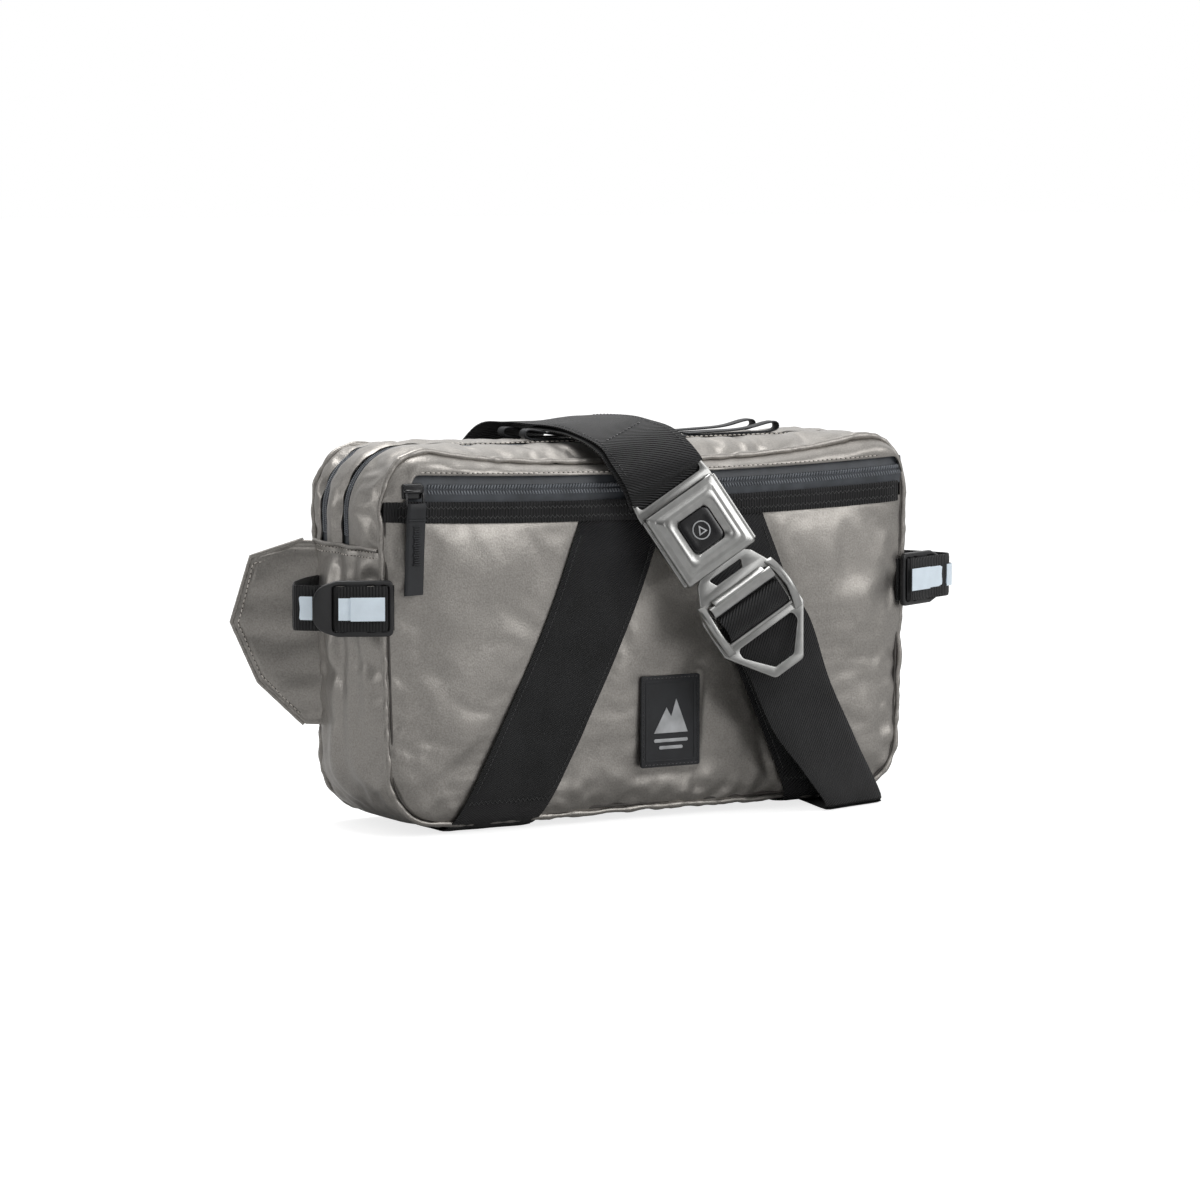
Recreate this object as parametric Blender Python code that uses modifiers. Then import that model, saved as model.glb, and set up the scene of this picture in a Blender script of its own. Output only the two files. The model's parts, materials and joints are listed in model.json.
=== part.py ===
"""Sling bag with two top zips, a front zip pocket, hip wings and a seat-belt style buckle.

Sizes are in millimetres and are multiplied by MM where geometry is made.
X runs along the bag, -Y is the front, +Z is up, and the bag rests on Z = 0.
"""
import math

import bmesh
import bpy
from mathutils import Matrix, Vector

MM = 0.001
COLLECTION = "sling_bag"
GAP = 0.4                      # clearance kept between touching pieces
SHARP_ANGLE = 35.0             # degrees between faces that stay a visible edge

# Driving dimensions of the bag body
HALF_WIDTH_TOP = 181.0
HALF_WIDTH_BOTTOM = 174.0
BODY_BOTTOM = 4.4
BODY_TOP = 221.5
BODY_MIDDLE_Z = (BODY_BOTTOM + BODY_TOP) / 2
TOP_RADIUS = 38.0
BOTTOM_RADIUS = 34.0
FRONT_SEAM_Y = -40.5
REAR_SEAM_Y = 43.0
SEAM_INSET = 6.0               # the seams sit this far inside the widest outline
PANEL_INSET = 8.2
PIPING_RADIUS = 1.4
ZIP_END_Z = 165.0              # both top zips stop where the side panels begin
GUSSET_THICKNESS = 1.8
CLOTH_THICKNESS = 1.2
FRONT_ZIP_Y = (-6.0, 2.6)
REAR_ZIP_Y = (20.0, 31.0)
FRONT_TAPER_Y = -22.0          # the gusset starts to run in to its seams here
REAR_TAPER_Y = 26.0
DIVIDER_Y = 11.0
SIDE_PANEL_BOTTOM = 58.0
SIDE_PANEL_HALF_DEPTH = 37.0

# Front pocket
PANEL_FACE_Y = -46.6
BAND_BOTTOM = 179.0
BAND_TOP = 190.6
ZIP_Z = 197.0
UPPER_PANEL_BOTTOM = 203.2
CORNER_ROUNDING = 8.0          # how far the rounded corner has come in at that height
POCKET_HALF_WIDTH = 160.0
SLIDER_X = -161.0
PULL_SIZE = (11.5, 52.0)
PULL_THICKNESS = 2.6

# Webbing
WEB_THICKNESS = 1.4
WEB_WIDTH = 52.0
DIAGONAL_HALF = 28.5           # half of the horizontal width of the slanted webbing
UNDER_STRAP_Z = 0.7            # middle of the layer that touches the floor

# Rubber patch
PATCH_SIZE = (40.0, 54.0)
PATCH_MIDDLE = Vector((8.0, 58.0))
PATCH_THICKNESS = 1.8
PRINT_THICKNESS = 0.4

# Hip wings and ladder locks
WING_ANGLE = 40.0
WING_THICKNESS = 3.0
WING_HINGE = Vector((181.4, 45.2))
WING_BACK_LEFT = Vector((math.sin(math.radians(WING_ANGLE)), math.cos(math.radians(WING_ANGLE)), 0))
WING_BACK_RIGHT = Vector((-WING_BACK_LEFT.x, WING_BACK_LEFT.y, 0))
LOCK_ANGLE = 25.0
LOCK_PIVOT = Vector((174.4, -46.4))
LOCK_Z = 133.0
LOCK_WIDTH = 32.0
COMPRESSION_WIDTH = 24.5
THUMB_TAB_DROP = 4.0           # the lock's thumb tab is this much narrower on each side

# Buckle frame: middle of the cover's upper edge, and the way its axes point
BUCKLE_ORIGIN = Vector((2.4, -68.5, 191.7))
BUCKLE_YAW = -12.3
BUCKLE_PITCH = 8.6
BUCKLE_ROLL = 32.4
COVER_WIDTH = 50.0
COVER_LENGTH = 48.0
BUTTON_SIZE = 22.0
TONGUE_LENGTH = 121.0
ADJUSTER_HALF = 21.5           # half of the width of the webbing round the adjuster bar

# Moves the whole model so that the middle of its box is over the origin
FRAME_SHIFT = Vector((0.0, 9.6, 0.0))

FABRIC = ("taupe_fabric", (0.25, 0.23, 0.21), 0.35, 0.6)
LINING = ("lining_fabric", (0.12, 0.12, 0.12), 0.8, 0.0)
WEBBING = ("black_webbing", (0.012, 0.012, 0.013), 0.75, 0.0)
ZIP_TAPE = ("zip_tape", (0.035, 0.04, 0.048), 0.6, 0.0)
METAL = ("brushed_metal", (0.55, 0.55, 0.54), 0.3, 1.0)
GLOSS_BLACK = ("gloss_black", (0.01, 0.01, 0.01), 0.2, 0.0)
RUBBER = ("black_rubber", (0.02, 0.02, 0.022), 0.6, 0.0)
REFLECTIVE = ("reflective_tape", (0.75, 0.82, 0.88), 0.3, 0.0)
FOAM = ("foam", (0.3, 0.3, 0.3), 0.9, 0.0)


# ---------------------------------------------------------------- helpers

def clear_scene():
    for item in list(bpy.data.objects):
        bpy.data.objects.remove(item, do_unlink=True)


def collection(name):
    group = bpy.data.collections.get(name)
    if group is None:
        group = bpy.data.collections.new(name)
        bpy.context.scene.collection.children.link(group)
    return group


def material(spec):
    name, colour, roughness, metallic = spec
    found = bpy.data.materials.get(name)
    if found:
        return found
    made = bpy.data.materials.new(name)
    made.use_nodes = True
    shader = made.node_tree.nodes["Principled BSDF"]
    shader.inputs["Base Color"].default_value = (*colour, 1.0)
    shader.inputs["Roughness"].default_value = roughness
    shader.inputs["Metallic"].default_value = metallic
    return made


def add_object(name, data, look, place=None):
    item = bpy.data.objects.new(name, data)
    collection(COLLECTION).objects.link(item)
    data.materials.append(material(look))
    item.parent = FRAME
    item.matrix_local = place if place else Matrix.Identity(4)
    return item


def at(x=0.0, y=0.0, z=0.0, base=None):
    """A placement shifted by x, y, z millimetres, in the base's own axes."""
    move = Matrix.Translation(Vector((x, y, z)) * MM)
    return base @ move if base else move


def rounded(corners, steps=4):
    """A closed outline; each corner is (x, y, radius)."""
    points = []
    count = len(corners)
    for index, (x, y, radius) in enumerate(corners):
        here = Vector((x, y))
        if radius == 0:
            points.append(here)
            continue
        before = (Vector(corners[index - 1][:2]) - here).normalized()
        after = (Vector(corners[(index + 1) % count][:2]) - here).normalized()
        half = before.angle(after) / 2
        centre = here + (before + after).normalized() * radius / math.sin(half)
        start = here + before * radius / math.tan(half) - centre
        end = here + after * radius / math.tan(half) - centre
        sweep = math.atan2(start.cross(end), start.dot(end))
        for step in range(steps + 1):
            turn = Matrix.Rotation(sweep * step / steps, 2)
            points.append(centre + turn @ start)
    return points


def rectangle(width, height, radius=0.0, x=0.0, y=0.0, steps=3):
    corners = [(x - width / 2, y - height / 2, radius), (x + width / 2, y - height / 2, radius),
               (x + width / 2, y + height / 2, radius), (x - width / 2, y + height / 2, radius)]
    return rounded(corners, steps)


def soften(mesh):
    """Shade a mesh smooth and keep its real edges sharp."""
    mesh.shade_smooth()
    mesh.set_sharp_from_angle(angle=math.radians(SHARP_ANGLE))


def plate(name, outlines, thickness, look, place):
    """A flat sheet from a 2D curve: the first outline is its edge, the rest are holes."""
    curve = bpy.data.curves.new(name, "CURVE")
    curve.dimensions = "2D"
    curve.fill_mode = "BOTH"
    curve.extrude = thickness / 2 * MM
    for outline in outlines:
        spline = curve.splines.new("POLY")
        spline.points.add(len(outline) - 1)
        for point, (x, y) in zip(spline.points, outline):
            point.co = (x * MM, y * MM, 0, 1)
        spline.use_cyclic_u = True
    return add_object(name, curve, look, place)


def tube(name, points, radius, look, closed=False):
    curve = bpy.data.curves.new(name, "CURVE")
    curve.dimensions = "3D"
    curve.bevel_depth = radius * MM
    curve.bevel_resolution = 2
    curve.use_fill_caps = True
    spline = curve.splines.new("POLY")
    spline.points.add(len(points) - 1)
    for point, position in zip(spline.points, points):
        point.co = (*(Vector(position) * MM), 1)
    spline.use_cyclic_u = closed
    return add_object(name, curve, look)


def loft(name, rings, look, place=None):
    """A closed body through rings of equal point counts, with flat ends."""
    mesh = bpy.data.meshes.new(name)
    form = bmesh.new()
    loops = [[form.verts.new(Vector(point) * MM) for point in ring] for ring in rings]
    for lower, upper in zip(loops, loops[1:]):
        count = len(lower)
        for index in range(count):
            after = (index + 1) % count
            form.faces.new((lower[index], lower[after], upper[after], upper[index]))
    form.faces.new(list(reversed(loops[0])))
    form.faces.new(loops[-1])
    bmesh.ops.recalc_face_normals(form, faces=form.faces)
    if form.calc_volume(signed=True) < 0:
        bmesh.ops.reverse_faces(form, faces=form.faces)
    form.to_mesh(mesh)
    form.free()
    soften(mesh)
    return add_object(name, mesh, look, place)


def ribbon(name, stations, thickness, look, place=None):
    """Webbing swept through stations of (middle, half of the width as a vector, outward normal).

    Both faces are split along the same diagonals, so that a twisted length keeps its thickness.
    """
    mesh = bpy.data.meshes.new(name)
    form = bmesh.new()
    loops = []
    for middle, half, normal in stations:
        middle, half = Vector(middle), Vector(half)
        rise = Vector(normal).normalized() * thickness / 2
        corners = (middle - half - rise, middle + half - rise, middle + half + rise, middle - half + rise)
        loops.append([form.verts.new(corner * MM) for corner in corners])
    for (a, b, c, d), (e, f, g, h) in zip(loops, loops[1:]):
        for face in ((a, b, f), (a, f, e), (d, g, c), (d, h, g), (b, c, g, f), (a, e, h, d)):
            form.faces.new(face)
    form.faces.new(loops[0])
    form.faces.new(loops[-1])
    bmesh.ops.recalc_face_normals(form, faces=form.faces)
    form.to_mesh(mesh)
    form.free()
    soften(mesh)
    return add_object(name, mesh, look, place)


def block(name, size, look, place, bevel=0.0, segments=1):
    mesh = bpy.data.meshes.new(name)
    form = bmesh.new()
    bmesh.ops.create_cube(form, size=1.0)
    bmesh.ops.scale(form, vec=Vector(size) * MM, verts=form.verts)
    form.to_mesh(mesh)
    form.free()
    soften(mesh)
    item = add_object(name, mesh, look, place)
    if bevel:
        modifier = item.modifiers.new("edges", "BEVEL")
        modifier.width = bevel * MM
        modifier.segments = segments
    return item


def cut(item, size, place, radius=0.0):
    """Take a box, or an upright prism with rounded corners, out of an item."""
    name = f"cutter_{len(collection('cutters').objects):02d}"
    mesh = bpy.data.meshes.new(name)
    form = bmesh.new()
    corners = [form.verts.new((*(point * MM), -size[2] / 2 * MM))
               for point in rectangle(size[0], size[1], radius)]
    floor = form.faces.new(corners)
    raised = bmesh.ops.extrude_face_region(form, geom=[floor])["geom"]
    top = [part for part in raised if isinstance(part, bmesh.types.BMVert)]
    bmesh.ops.translate(form, vec=(0, 0, size[2] * MM), verts=top)
    bmesh.ops.recalc_face_normals(form, faces=form.faces)
    form.to_mesh(mesh)
    form.free()
    cutter = bpy.data.objects.new(name, mesh)
    collection("cutters").objects.link(cutter)
    cutter.parent = FRAME
    cutter.matrix_local = place
    cutter.hide_render = True
    cutter.display_type = "WIRE"
    modifier = item.modifiers.new(name, "BOOLEAN")
    modifier.operation = "DIFFERENCE"
    modifier.object = cutter
    return item


def facing_front(y):
    """A placement whose X and Y lie along the bag's X and Z, and whose Z points forward."""
    return Matrix.Translation((0, y * MM, 0)) @ Matrix.Rotation(math.radians(90), 4, "X")


# ---------------------------------------------------------------- bag body

def half_width(z):
    """Half of the bag's widest outline at a height."""
    share = (z - BODY_BOTTOM) / (BODY_TOP - BODY_BOTTOM)
    return HALF_WIDTH_BOTTOM + (HALF_WIDTH_TOP - HALF_WIDTH_BOTTOM) * share


def body_corners(inset, bottom=BODY_BOTTOM, top=BODY_TOP):
    low, high = bottom + inset, top - inset
    wide_low, wide_high = half_width(low) - inset, half_width(high) - inset
    return [(-wide_low, low, BOTTOM_RADIUS - inset), (wide_low, low, BOTTOM_RADIUS - inset),
            (wide_high, high, TOP_RADIUS - inset), (-wide_high, high, TOP_RADIUS - inset)]


def gusset_inset(y):
    """How far the gusset stands inside the widest outline at a depth."""
    front = max(0.0, (FRONT_TAPER_Y - y) / (FRONT_TAPER_Y - FRONT_SEAM_Y))
    rear = max(0.0, (y - REAR_TAPER_Y) / (REAR_SEAM_Y - REAR_TAPER_Y))
    return SEAM_INSET * (front ** 2 + rear ** 2)


def gusset_path(inset, top):
    """Points of the upper or the lower stretch of the outline, from left to right."""
    outline = rounded(body_corners(inset), steps=5)
    limit = ZIP_END_Z if top else ZIP_END_Z - GAP
    end = half_width(limit) - inset
    arc = [point for point in outline if (point.y > ZIP_END_Z) == top]
    arc.sort(key=lambda point: math.atan2(point.x, abs(point.y - BODY_MIDDLE_Z)))
    return [Vector((-end, limit))] + arc + [Vector((end, limit))]


def gusset_band(name, y_range, look, top=True, layers=3):
    """A strip of the gusset between two depths, as a closed body that follows the outline."""
    start, end = y_range
    depths = [start + (end - start) * step / layers for step in range(layers + 1)]
    outer = [gusset_path(gusset_inset(y), top) for y in depths]
    inner = [gusset_path(gusset_inset(y) + GUSSET_THICKNESS, top) for y in depths]
    rings = []
    for index in range(len(outer[0])):
        ring = [(path[index].x, y, path[index].y) for path, y in zip(outer, depths)]
        back = [(path[index].x, y, path[index].y) for path, y in zip(inner, depths)]
        rings.append(ring + list(reversed(back)))
    return loft(name, rings, look)


def make_gussets():
    front = FRONT_SEAM_Y + PIPING_RADIUS + GAP
    rear = REAR_SEAM_Y - PIPING_RADIUS - GAP
    gusset_band("bottom_gusset", (front, rear), FABRIC, top=False, layers=5)
    gusset_band("front_gusset", (front, FRONT_ZIP_Y[0] - GAP), FABRIC)
    gusset_band("front_zip_chain", FRONT_ZIP_Y, ZIP_TAPE, layers=1)
    gusset_band("middle_gusset", (FRONT_ZIP_Y[1] + GAP, REAR_ZIP_Y[0] - GAP), FABRIC, layers=1)
    gusset_band("rear_zip_chain", REAR_ZIP_Y, ZIP_TAPE, layers=1)
    gusset_band("rear_gusset", (REAR_ZIP_Y[1] + GAP, rear), FABRIC, layers=2)


def make_piping():
    for name, y in (("front_piping", FRONT_SEAM_Y), ("rear_piping", REAR_SEAM_Y)):
        outline = rounded(body_corners(SEAM_INSET), steps=5)
        tube(name, [(point.x, y, point.y) for point in outline], PIPING_RADIUS, FABRIC, closed=True)


def crown_rings(corner_maker, seam_y, face_y):
    """Rings from a seam plane to a face plane, rounding over the sewn edge."""
    rise = face_y - seam_y
    profile = ((0.0, 0.0), (1.2, 0.42), (5.0, 0.8), (14.0, 0.96), (30.0, 1.0))
    rings = []
    for inset, share in profile:
        outline = rounded(corner_maker(inset), steps=5)
        rings.append([(point.x, seam_y + rise * share, point.y) for point in outline])
    return rings


def lower_panel_corners(inset):
    low = BODY_BOTTOM + PANEL_INSET + inset
    top = BAND_BOTTOM - GAP
    wide_low = half_width(low) - PANEL_INSET - inset
    wide_top = half_width(top) - PANEL_INSET - inset
    radius = BOTTOM_RADIUS - PANEL_INSET
    return [(-wide_low, low, radius), (wide_low, low, radius), (wide_top, top, 0.2), (-wide_top, top, 0.2)]


def upper_panel_corners(inset):
    low = UPPER_PANEL_BOTTOM
    top = BODY_TOP - PANEL_INSET - inset * 0.1
    wide = half_width(low) - PANEL_INSET - CORNER_ROUNDING - inset
    narrow = wide - 17.0
    return [(-wide, low, 0.2), (wide, low, 0.2), (narrow, top, 8.0), (-narrow, top, 8.0)]


def make_front():
    seam = FRONT_SEAM_Y
    loft("front_panel", crown_rings(lower_panel_corners, seam, PANEL_FACE_Y), FABRIC)
    loft("front_top_strip", crown_rings(upper_panel_corners, seam, PANEL_FACE_Y + 1.0), FABRIC)
    backing = rounded(body_corners(PANEL_INSET), steps=4)
    plate("pocket_backing", [backing], 1.0, LINING, facing_front(seam + 0.9))
    band_half = half_width(BAND_BOTTOM) - PANEL_INSET - 3.0
    middle = (BAND_BOTTOM + BAND_TOP) / 2
    band = rectangle(2 * band_half, BAND_TOP - BAND_BOTTOM, y=middle)
    plate("pocket_band", [band], 1.3, WEBBING, facing_front(PANEL_FACE_Y + 0.6))
    tape_low, tape_high = BAND_TOP + GAP, UPPER_PANEL_BOTTOM - GAP
    tape = rectangle(2 * band_half, tape_high - tape_low, y=(tape_low + tape_high) / 2)
    plate("pocket_zip_tape", [tape], 2.0, ZIP_TAPE, facing_front(PANEL_FACE_Y + 3.0))
    block("pocket_zip_coil", (2 * POCKET_HALF_WIDTH, 1.4, 5.0), ZIP_TAPE,
          at(6.0, PANEL_FACE_Y + 3.0 - 1.0 - 0.7 - GAP, ZIP_Z), 0.5)


def make_back():
    foam = rounded(body_corners(PANEL_INSET + 0.8), steps=4)
    plate("back_foam", [foam], 5.0, FOAM, facing_front(REAR_SEAM_Y - 5.0))

    def corners(inset):
        return body_corners(PANEL_INSET + inset)

    loft("back_panel", crown_rings(corners, REAR_SEAM_Y - 1.6, REAR_SEAM_Y + 3.6), FABRIC)
    divider = rounded(body_corners(GUSSET_THICKNESS + GAP + 0.4), steps=4)
    plate("compartment_divider", [divider], CLOTH_THICKNESS, LINING, facing_front(DIVIDER_Y))


# ---------------------------------------------------------------- webbing and patch

def make_diagonals():
    """Two slanted lengths of webbing sewn under the pocket band and wrapped under the bag."""
    face = PANEL_FACE_Y - GAP - WEB_THICKNESS / 2
    run = ((face, BAND_BOTTOM - 0.6), (face, 120.0), (face, 60.0), (face, 34.0), (face + 0.6, 22.0),
           (face + 2.4, 14.0), (face + 4.6, 8.5), (-40.0, 5.0))
    sides = (("diagonal_webbing_left", ((178.4, -24.0), (108.0, -51.5), (5.0, -105.5)), UNDER_STRAP_Z),
             ("diagonal_webbing_right", ((178.4, 43.0), (92.0, 80.0), (5.0, 121.0)), UNDER_STRAP_Z + 1.9))
    for name, knots, under in sides:
        stations = []
        for index, (y, z) in enumerate(run):
            before = run[max(index - 1, 0)]
            after = run[min(index + 1, len(run) - 1)]
            slope = Vector((after[0] - before[0], after[1] - before[1]))
            stations.append(((drift(knots, z), y, z), (DIAGONAL_HALF, 0, 0), (0, slope.y, -slope.x)))
        low_x = knots[-1][1]
        stations.append(((low_x, -36.5, under + 1.0), (DIAGONAL_HALF, 0, 0), (0, -0.5, -1)))
        stations.append(((low_x, -31.0, under), (DIAGONAL_HALF, 0, 0), (0, 0, -1)))
        stations.append(((low_x, 36.0, under), (DIAGONAL_HALF, 0, 0), (0, 0, -1)))
        ribbon(name, stations, WEB_THICKNESS, WEBBING)


def drift(knots, z):
    """X of slanted webbing at a height, straight between its knots."""
    for (high, x_high), (low, x_low) in zip(knots, knots[1:]):
        if z >= low:
            return x_low + (x_high - x_low) * (z - low) / (high - low)
    return knots[-1][1]


def make_patch():
    """A rubber patch with a plain emblem of two peaks."""
    width, height = PATCH_SIZE
    place = facing_front(PANEL_FACE_Y - GAP - PATCH_THICKNESS / 2)
    outline = rectangle(width, height, 1.5, x=PATCH_MIDDLE.x, y=PATCH_MIDDLE.y)
    plate("rubber_patch", [outline], PATCH_THICKNESS, RUBBER, place)
    peaks = ((-11.5, -7.0), (11.5, -7.0), (3.6, 13.0), (0.2, 2.6), (-3.0, 8.0))
    emblem = [PATCH_MIDDLE + Vector(peak) for peak in peaks]
    face = PANEL_FACE_Y - 2 * GAP - PATCH_THICKNESS - PRINT_THICKNESS / 2
    plate("patch_emblem", [emblem], PRINT_THICKNESS, REFLECTIVE, facing_front(face))


def make_straps():
    """The belt strap: from the left wing, behind and over the bag, to the buckle, then under it."""
    across_slot = BUCKLE.to_3x3() @ Vector((1, 0, 0))
    out_slot = BUCKLE.to_3x3() @ Vector((0, 0, 1))
    half = WEB_WIDTH / 2
    over = [((-5.5, -67.1, 199.8), across_slot, out_slot),
            ((-11.9, -65.5, 209.6), (0.86, 0.02, 0.5), (-0.2, -0.93, 0.3)),
            ((-15.6, -56.9, 221.4), (0.89, 0.2, 0.36), (-0.16, -0.7, 0.7)),
            ((-14.6, -41.4, 229.2), (0.9, 0.36, 0.2), (-0.1, -0.33, 0.94)),
            ((-13.0, -18.0, 233.0), (0.9, 0.42, 0.05), (0, -0.1, 1)),
            ((-17.4, 2.0, 234.0), (0.9, 0.42, 0), (0, 0, 1)),
            ((-25.0, 22.0, 233.4), (0.9, 0.41, -0.05), (0, 0.12, 1)),
            ((-33.0, 42.0, 229.5), (0.9, 0.38, -0.2), (0, 0.5, 0.86)),
            ((-42.0, 56.0, 218.0), (0.88, 0.2, -0.42), (0, 0.85, 0.5)),
            ((-58.0, 59.5, 198.0), (0.84, 0, -0.54), (0, 1, 0)),
            ((-84.0, 58.0, 172.0), (0.72, 0, -0.69), (0, 1, 0))]
    ribbon("strap_upper", scale_half(over, half), 2.6, WEBBING)
    rear = [((-85.0, 58.2, 171.1), (0.72, 0, -0.69), (0, 1, 0)),
            ((-112.0, 58.0, 146.0), (0.5, 0, -0.86), (0, 1, 0)),
            ((-145.0, 58.0, 128.0), (0.2, 0, -0.98), (0.1, 1, 0)),
            ((-178.0, 60.0, 119.0), (0.05, 0, -1), (0.35, 0.94, 0)),
            ((-199.0, 63.6, 115.0), (0.02, 0, -1), WING_BACK_LEFT)]
    ribbon("strap_rear_left", scale_half(rear, half), WEB_THICKNESS, WEBBING)
    front = [((59.3, -83.5, 107.4), (0.84, 0.06, 0.5), out_slot),
             ((79.0, -81.2, 66.4), (0.88, 0.16, 0.4), (-0.05, -0.98, 0.3)),
             ((105.4, -73.0, 32.2), (0.93, 0.24, 0.2), (0.2, -0.95, 0.2)),
             ((124.0, -66.8, 9.6), (0.955, 0.28, 0.06), (0.27, -0.95, 0.1))]
    ribbon("strap_lower", scale_half(front, half), WEB_THICKNESS, WEBBING)
    under = [((124.6, -66.6, 8.6), (0.955, 0.28, 0.06), (0.27, -0.95, 0.1)),
             ((127.2, -65.4, 4.0), (0.965, 0.26, 0), (0.24, -0.88, -0.4)),
             ((128.6, -61.4, 1.4), (0.965, 0.26, 0), (0.1, -0.37, -0.92)),
             ((130.0, -55.0, UNDER_STRAP_Z), (0.965, 0.26, 0), (0, 0, -1)),
             ((152.0, 40.0, UNDER_STRAP_Z), (0.98, 0.2, 0), (0, 0, -1)),
             ((154.0, 51.0, 1.9), (0.98, 0.2, 0), (-0.1, 0.5, -0.86)),
             ((156.5, 57.0, 8.6), (0.98, 0.1, -0.1), (-0.1, 0.98, -0.2)),
             ((163.0, 58.6, 30.0), (0.96, 0, -0.28), (0, 1, 0)),
             ((171.0, 58.8, 58.0), (0.92, 0, -0.35), (0, 1, 0))]
    ribbon("strap_under", scale_half(under, half), WEB_THICKNESS, WEBBING)
    rear = [((171.4, 58.8, 59.2), (0.92, 0, -0.35), (0, 1, 0)),
            ((180.0, 59.4, 80.0), (0.75, 0.25, -0.4), (-0.35, 0.93, 0)),
            ((198.0, 62.8, 112.0), (0.5, 0.42, -0.4), WING_BACK_RIGHT)]
    ribbon("strap_rear_right", scale_half(rear, half), WEB_THICKNESS, WEBBING)


def scale_half(stations, half):
    """Turn each station's across direction into half of the webbing's width."""
    scaled = []
    for middle, across, normal in stations:
        across, normal = Vector(across), Vector(normal).normalized()
        reach = half * min(1.0, across.length)
        across = (across - normal * across.dot(normal)).normalized() * reach
        scaled.append((middle, across, normal))
    return scaled


# ---------------------------------------------------------------- side panels, wings, locks

def make_side(side, word):
    """Side panel, hip wing, ladder lock, its anchor and its compression webbing."""
    stations = []
    for z in (SIDE_PANEL_BOTTOM, ZIP_END_Z + 0.6):
        middle = (side * (half_width(z) + CLOTH_THICKNESS), 1.0, z)
        stations.append((middle, (0, SIDE_PANEL_HALF_DEPTH, 0), (side, 0, 0)))
    ribbon(f"side_panel_{word}", stations, CLOTH_THICKNESS, FABRIC)
    make_wing(side, word)
    make_lock(side, word)


def side_frame(side, pivot, angle):
    """A placement on a vertical axis: its X runs outward and back, its Y runs up."""
    turn = math.radians(angle)
    out = Vector((side * math.cos(turn), math.sin(turn), 0))
    up = Vector((0, 0, 1))
    normal = out.cross(up)
    place = Matrix((out, up, normal)).transposed().to_4x4()
    place.translation = Vector((side * pivot.x, pivot.y, 0)) * MM
    return place


def make_wing(side, word):
    corners = [(0.6, 57.0, 2.0), (30.0, 82.0, 5.0), (46.0, 116.5, 3.0), (34.0, 155.0, 3.0), (0.6, 166.0, 3.0)]
    if side < 0:
        corners = list(reversed(corners))
    place = side_frame(side, WING_HINGE, WING_ANGLE)
    plate(f"wing_{word}", [rounded(corners, steps=3)], WING_THICKNESS, FABRIC, place)


def make_lock(side, word):
    """A ladder lock that pivots on a webbing loop in the front side seam."""
    place = side_frame(side, LOCK_PIVOT, LOCK_ANGLE)
    front = side                            # the placement's Z points forward on the right only
    half = LOCK_WIDTH / 2
    tab = half - THUMB_TAB_DROP
    body = rounded([(-1.8, LOCK_Z - half, 3.0), (32.0, LOCK_Z - half, 4.0), (44.0, LOCK_Z - tab, 10.0),
                    (44.0, LOCK_Z + tab, 10.0), (32.0, LOCK_Z + half, 4.0), (-1.8, LOCK_Z + half, 3.0)])
    slots = []
    for start, end in ((1.2, 5.4), (8.4, 13.6), (25.2, 32.8)):
        slots.append(rectangle(end - start, COMPRESSION_WIDTH + 1.6, 0.8,
                               x=(start + end) / 2, y=LOCK_Z, steps=1))
    plate(f"ladder_lock_{word}", [body] + slots, 3.2, GLOSS_BLACK, place)
    reach = COMPRESSION_WIDTH / 2
    anchor = [((3.2, LOCK_Z, 1.4 * front), (0, reach, 0), (1, 0, 0)),
              ((3.2, LOCK_Z, -0.8 * front), (0, reach, 0), (1, 0, -0.2 * front)),
              ((1.8, LOCK_Z, -2.9 * front), (0, reach, 0), (0.4, 0, -front)),
              ((-0.2, LOCK_Z, -3.1 * front), (0, reach, 0), (0, 0, -front))]
    ribbon(f"lock_anchor_{word}", anchor, 1.0, WEBBING, place)
    web = [((10.6, LOCK_Z, 2.75 * front), (0, reach, 0), (0, 0, front)),
           ((24.0, LOCK_Z, 2.75 * front), (0, reach, 0), (0, 0, front)),
           ((27.2, LOCK_Z, 2.2 * front), (0, reach, 0), (0.5, 0, 0.8 * front)),
           ((29.0, LOCK_Z, 0.2 * front), (0, reach, 0), (0.95, 0, 0.3 * front)),
           ((30.4, LOCK_Z, -2.2 * front), (0, reach, 0), (0.8, 0, 0.6 * front)),
           ((34.0, LOCK_Z, -3.4 * front), (0, reach, 0), (0.1, 0, front)),
           ((43.0, LOCK_Z, -3.8 * front), (0, reach, 0), (0.3, 0, front)),
           ((48.0, LOCK_Z, -8.0 * front), (0, reach, 0), (1, 0, 0.3 * front)),
           ((47.0, LOCK_Z, -30.0 * front), (0, reach, 0), (1, 0, 0)),
           ((42.0, LOCK_Z, -64.0 * front), (0, reach, 0), (1, 0, 0))]
    ribbon(f"compression_webbing_{word}", web, WEB_THICKNESS, WEBBING, place)
    strip = [((11.0, LOCK_Z, 3.95 * front), (0, 5.0, 0), (0, 0, front)),
             ((24.2, LOCK_Z, 3.95 * front), (0, 5.0, 0), (0, 0, front))]
    ribbon(f"reflective_strip_{word}", strip, 0.4, REFLECTIVE, place)


# ---------------------------------------------------------------- buckle

def buckle_frame():
    """X runs across the strap, Y up along it, and Z out of the buckle's face."""
    yaw, pitch, roll = (math.radians(angle) for angle in (BUCKLE_YAW, BUCKLE_PITCH, BUCKLE_ROLL))
    normal = Vector((math.sin(yaw) * math.cos(pitch), -math.cos(yaw) * math.cos(pitch), math.sin(pitch)))
    level = Vector((math.cos(yaw), math.sin(yaw), 0))
    rise = normal.cross(level)
    across = level * math.cos(roll) + rise * math.sin(roll)
    place = Matrix((across, normal.cross(across), normal)).transposed().to_4x4()
    place.translation = BUCKLE_ORIGIN * MM
    return place


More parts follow.
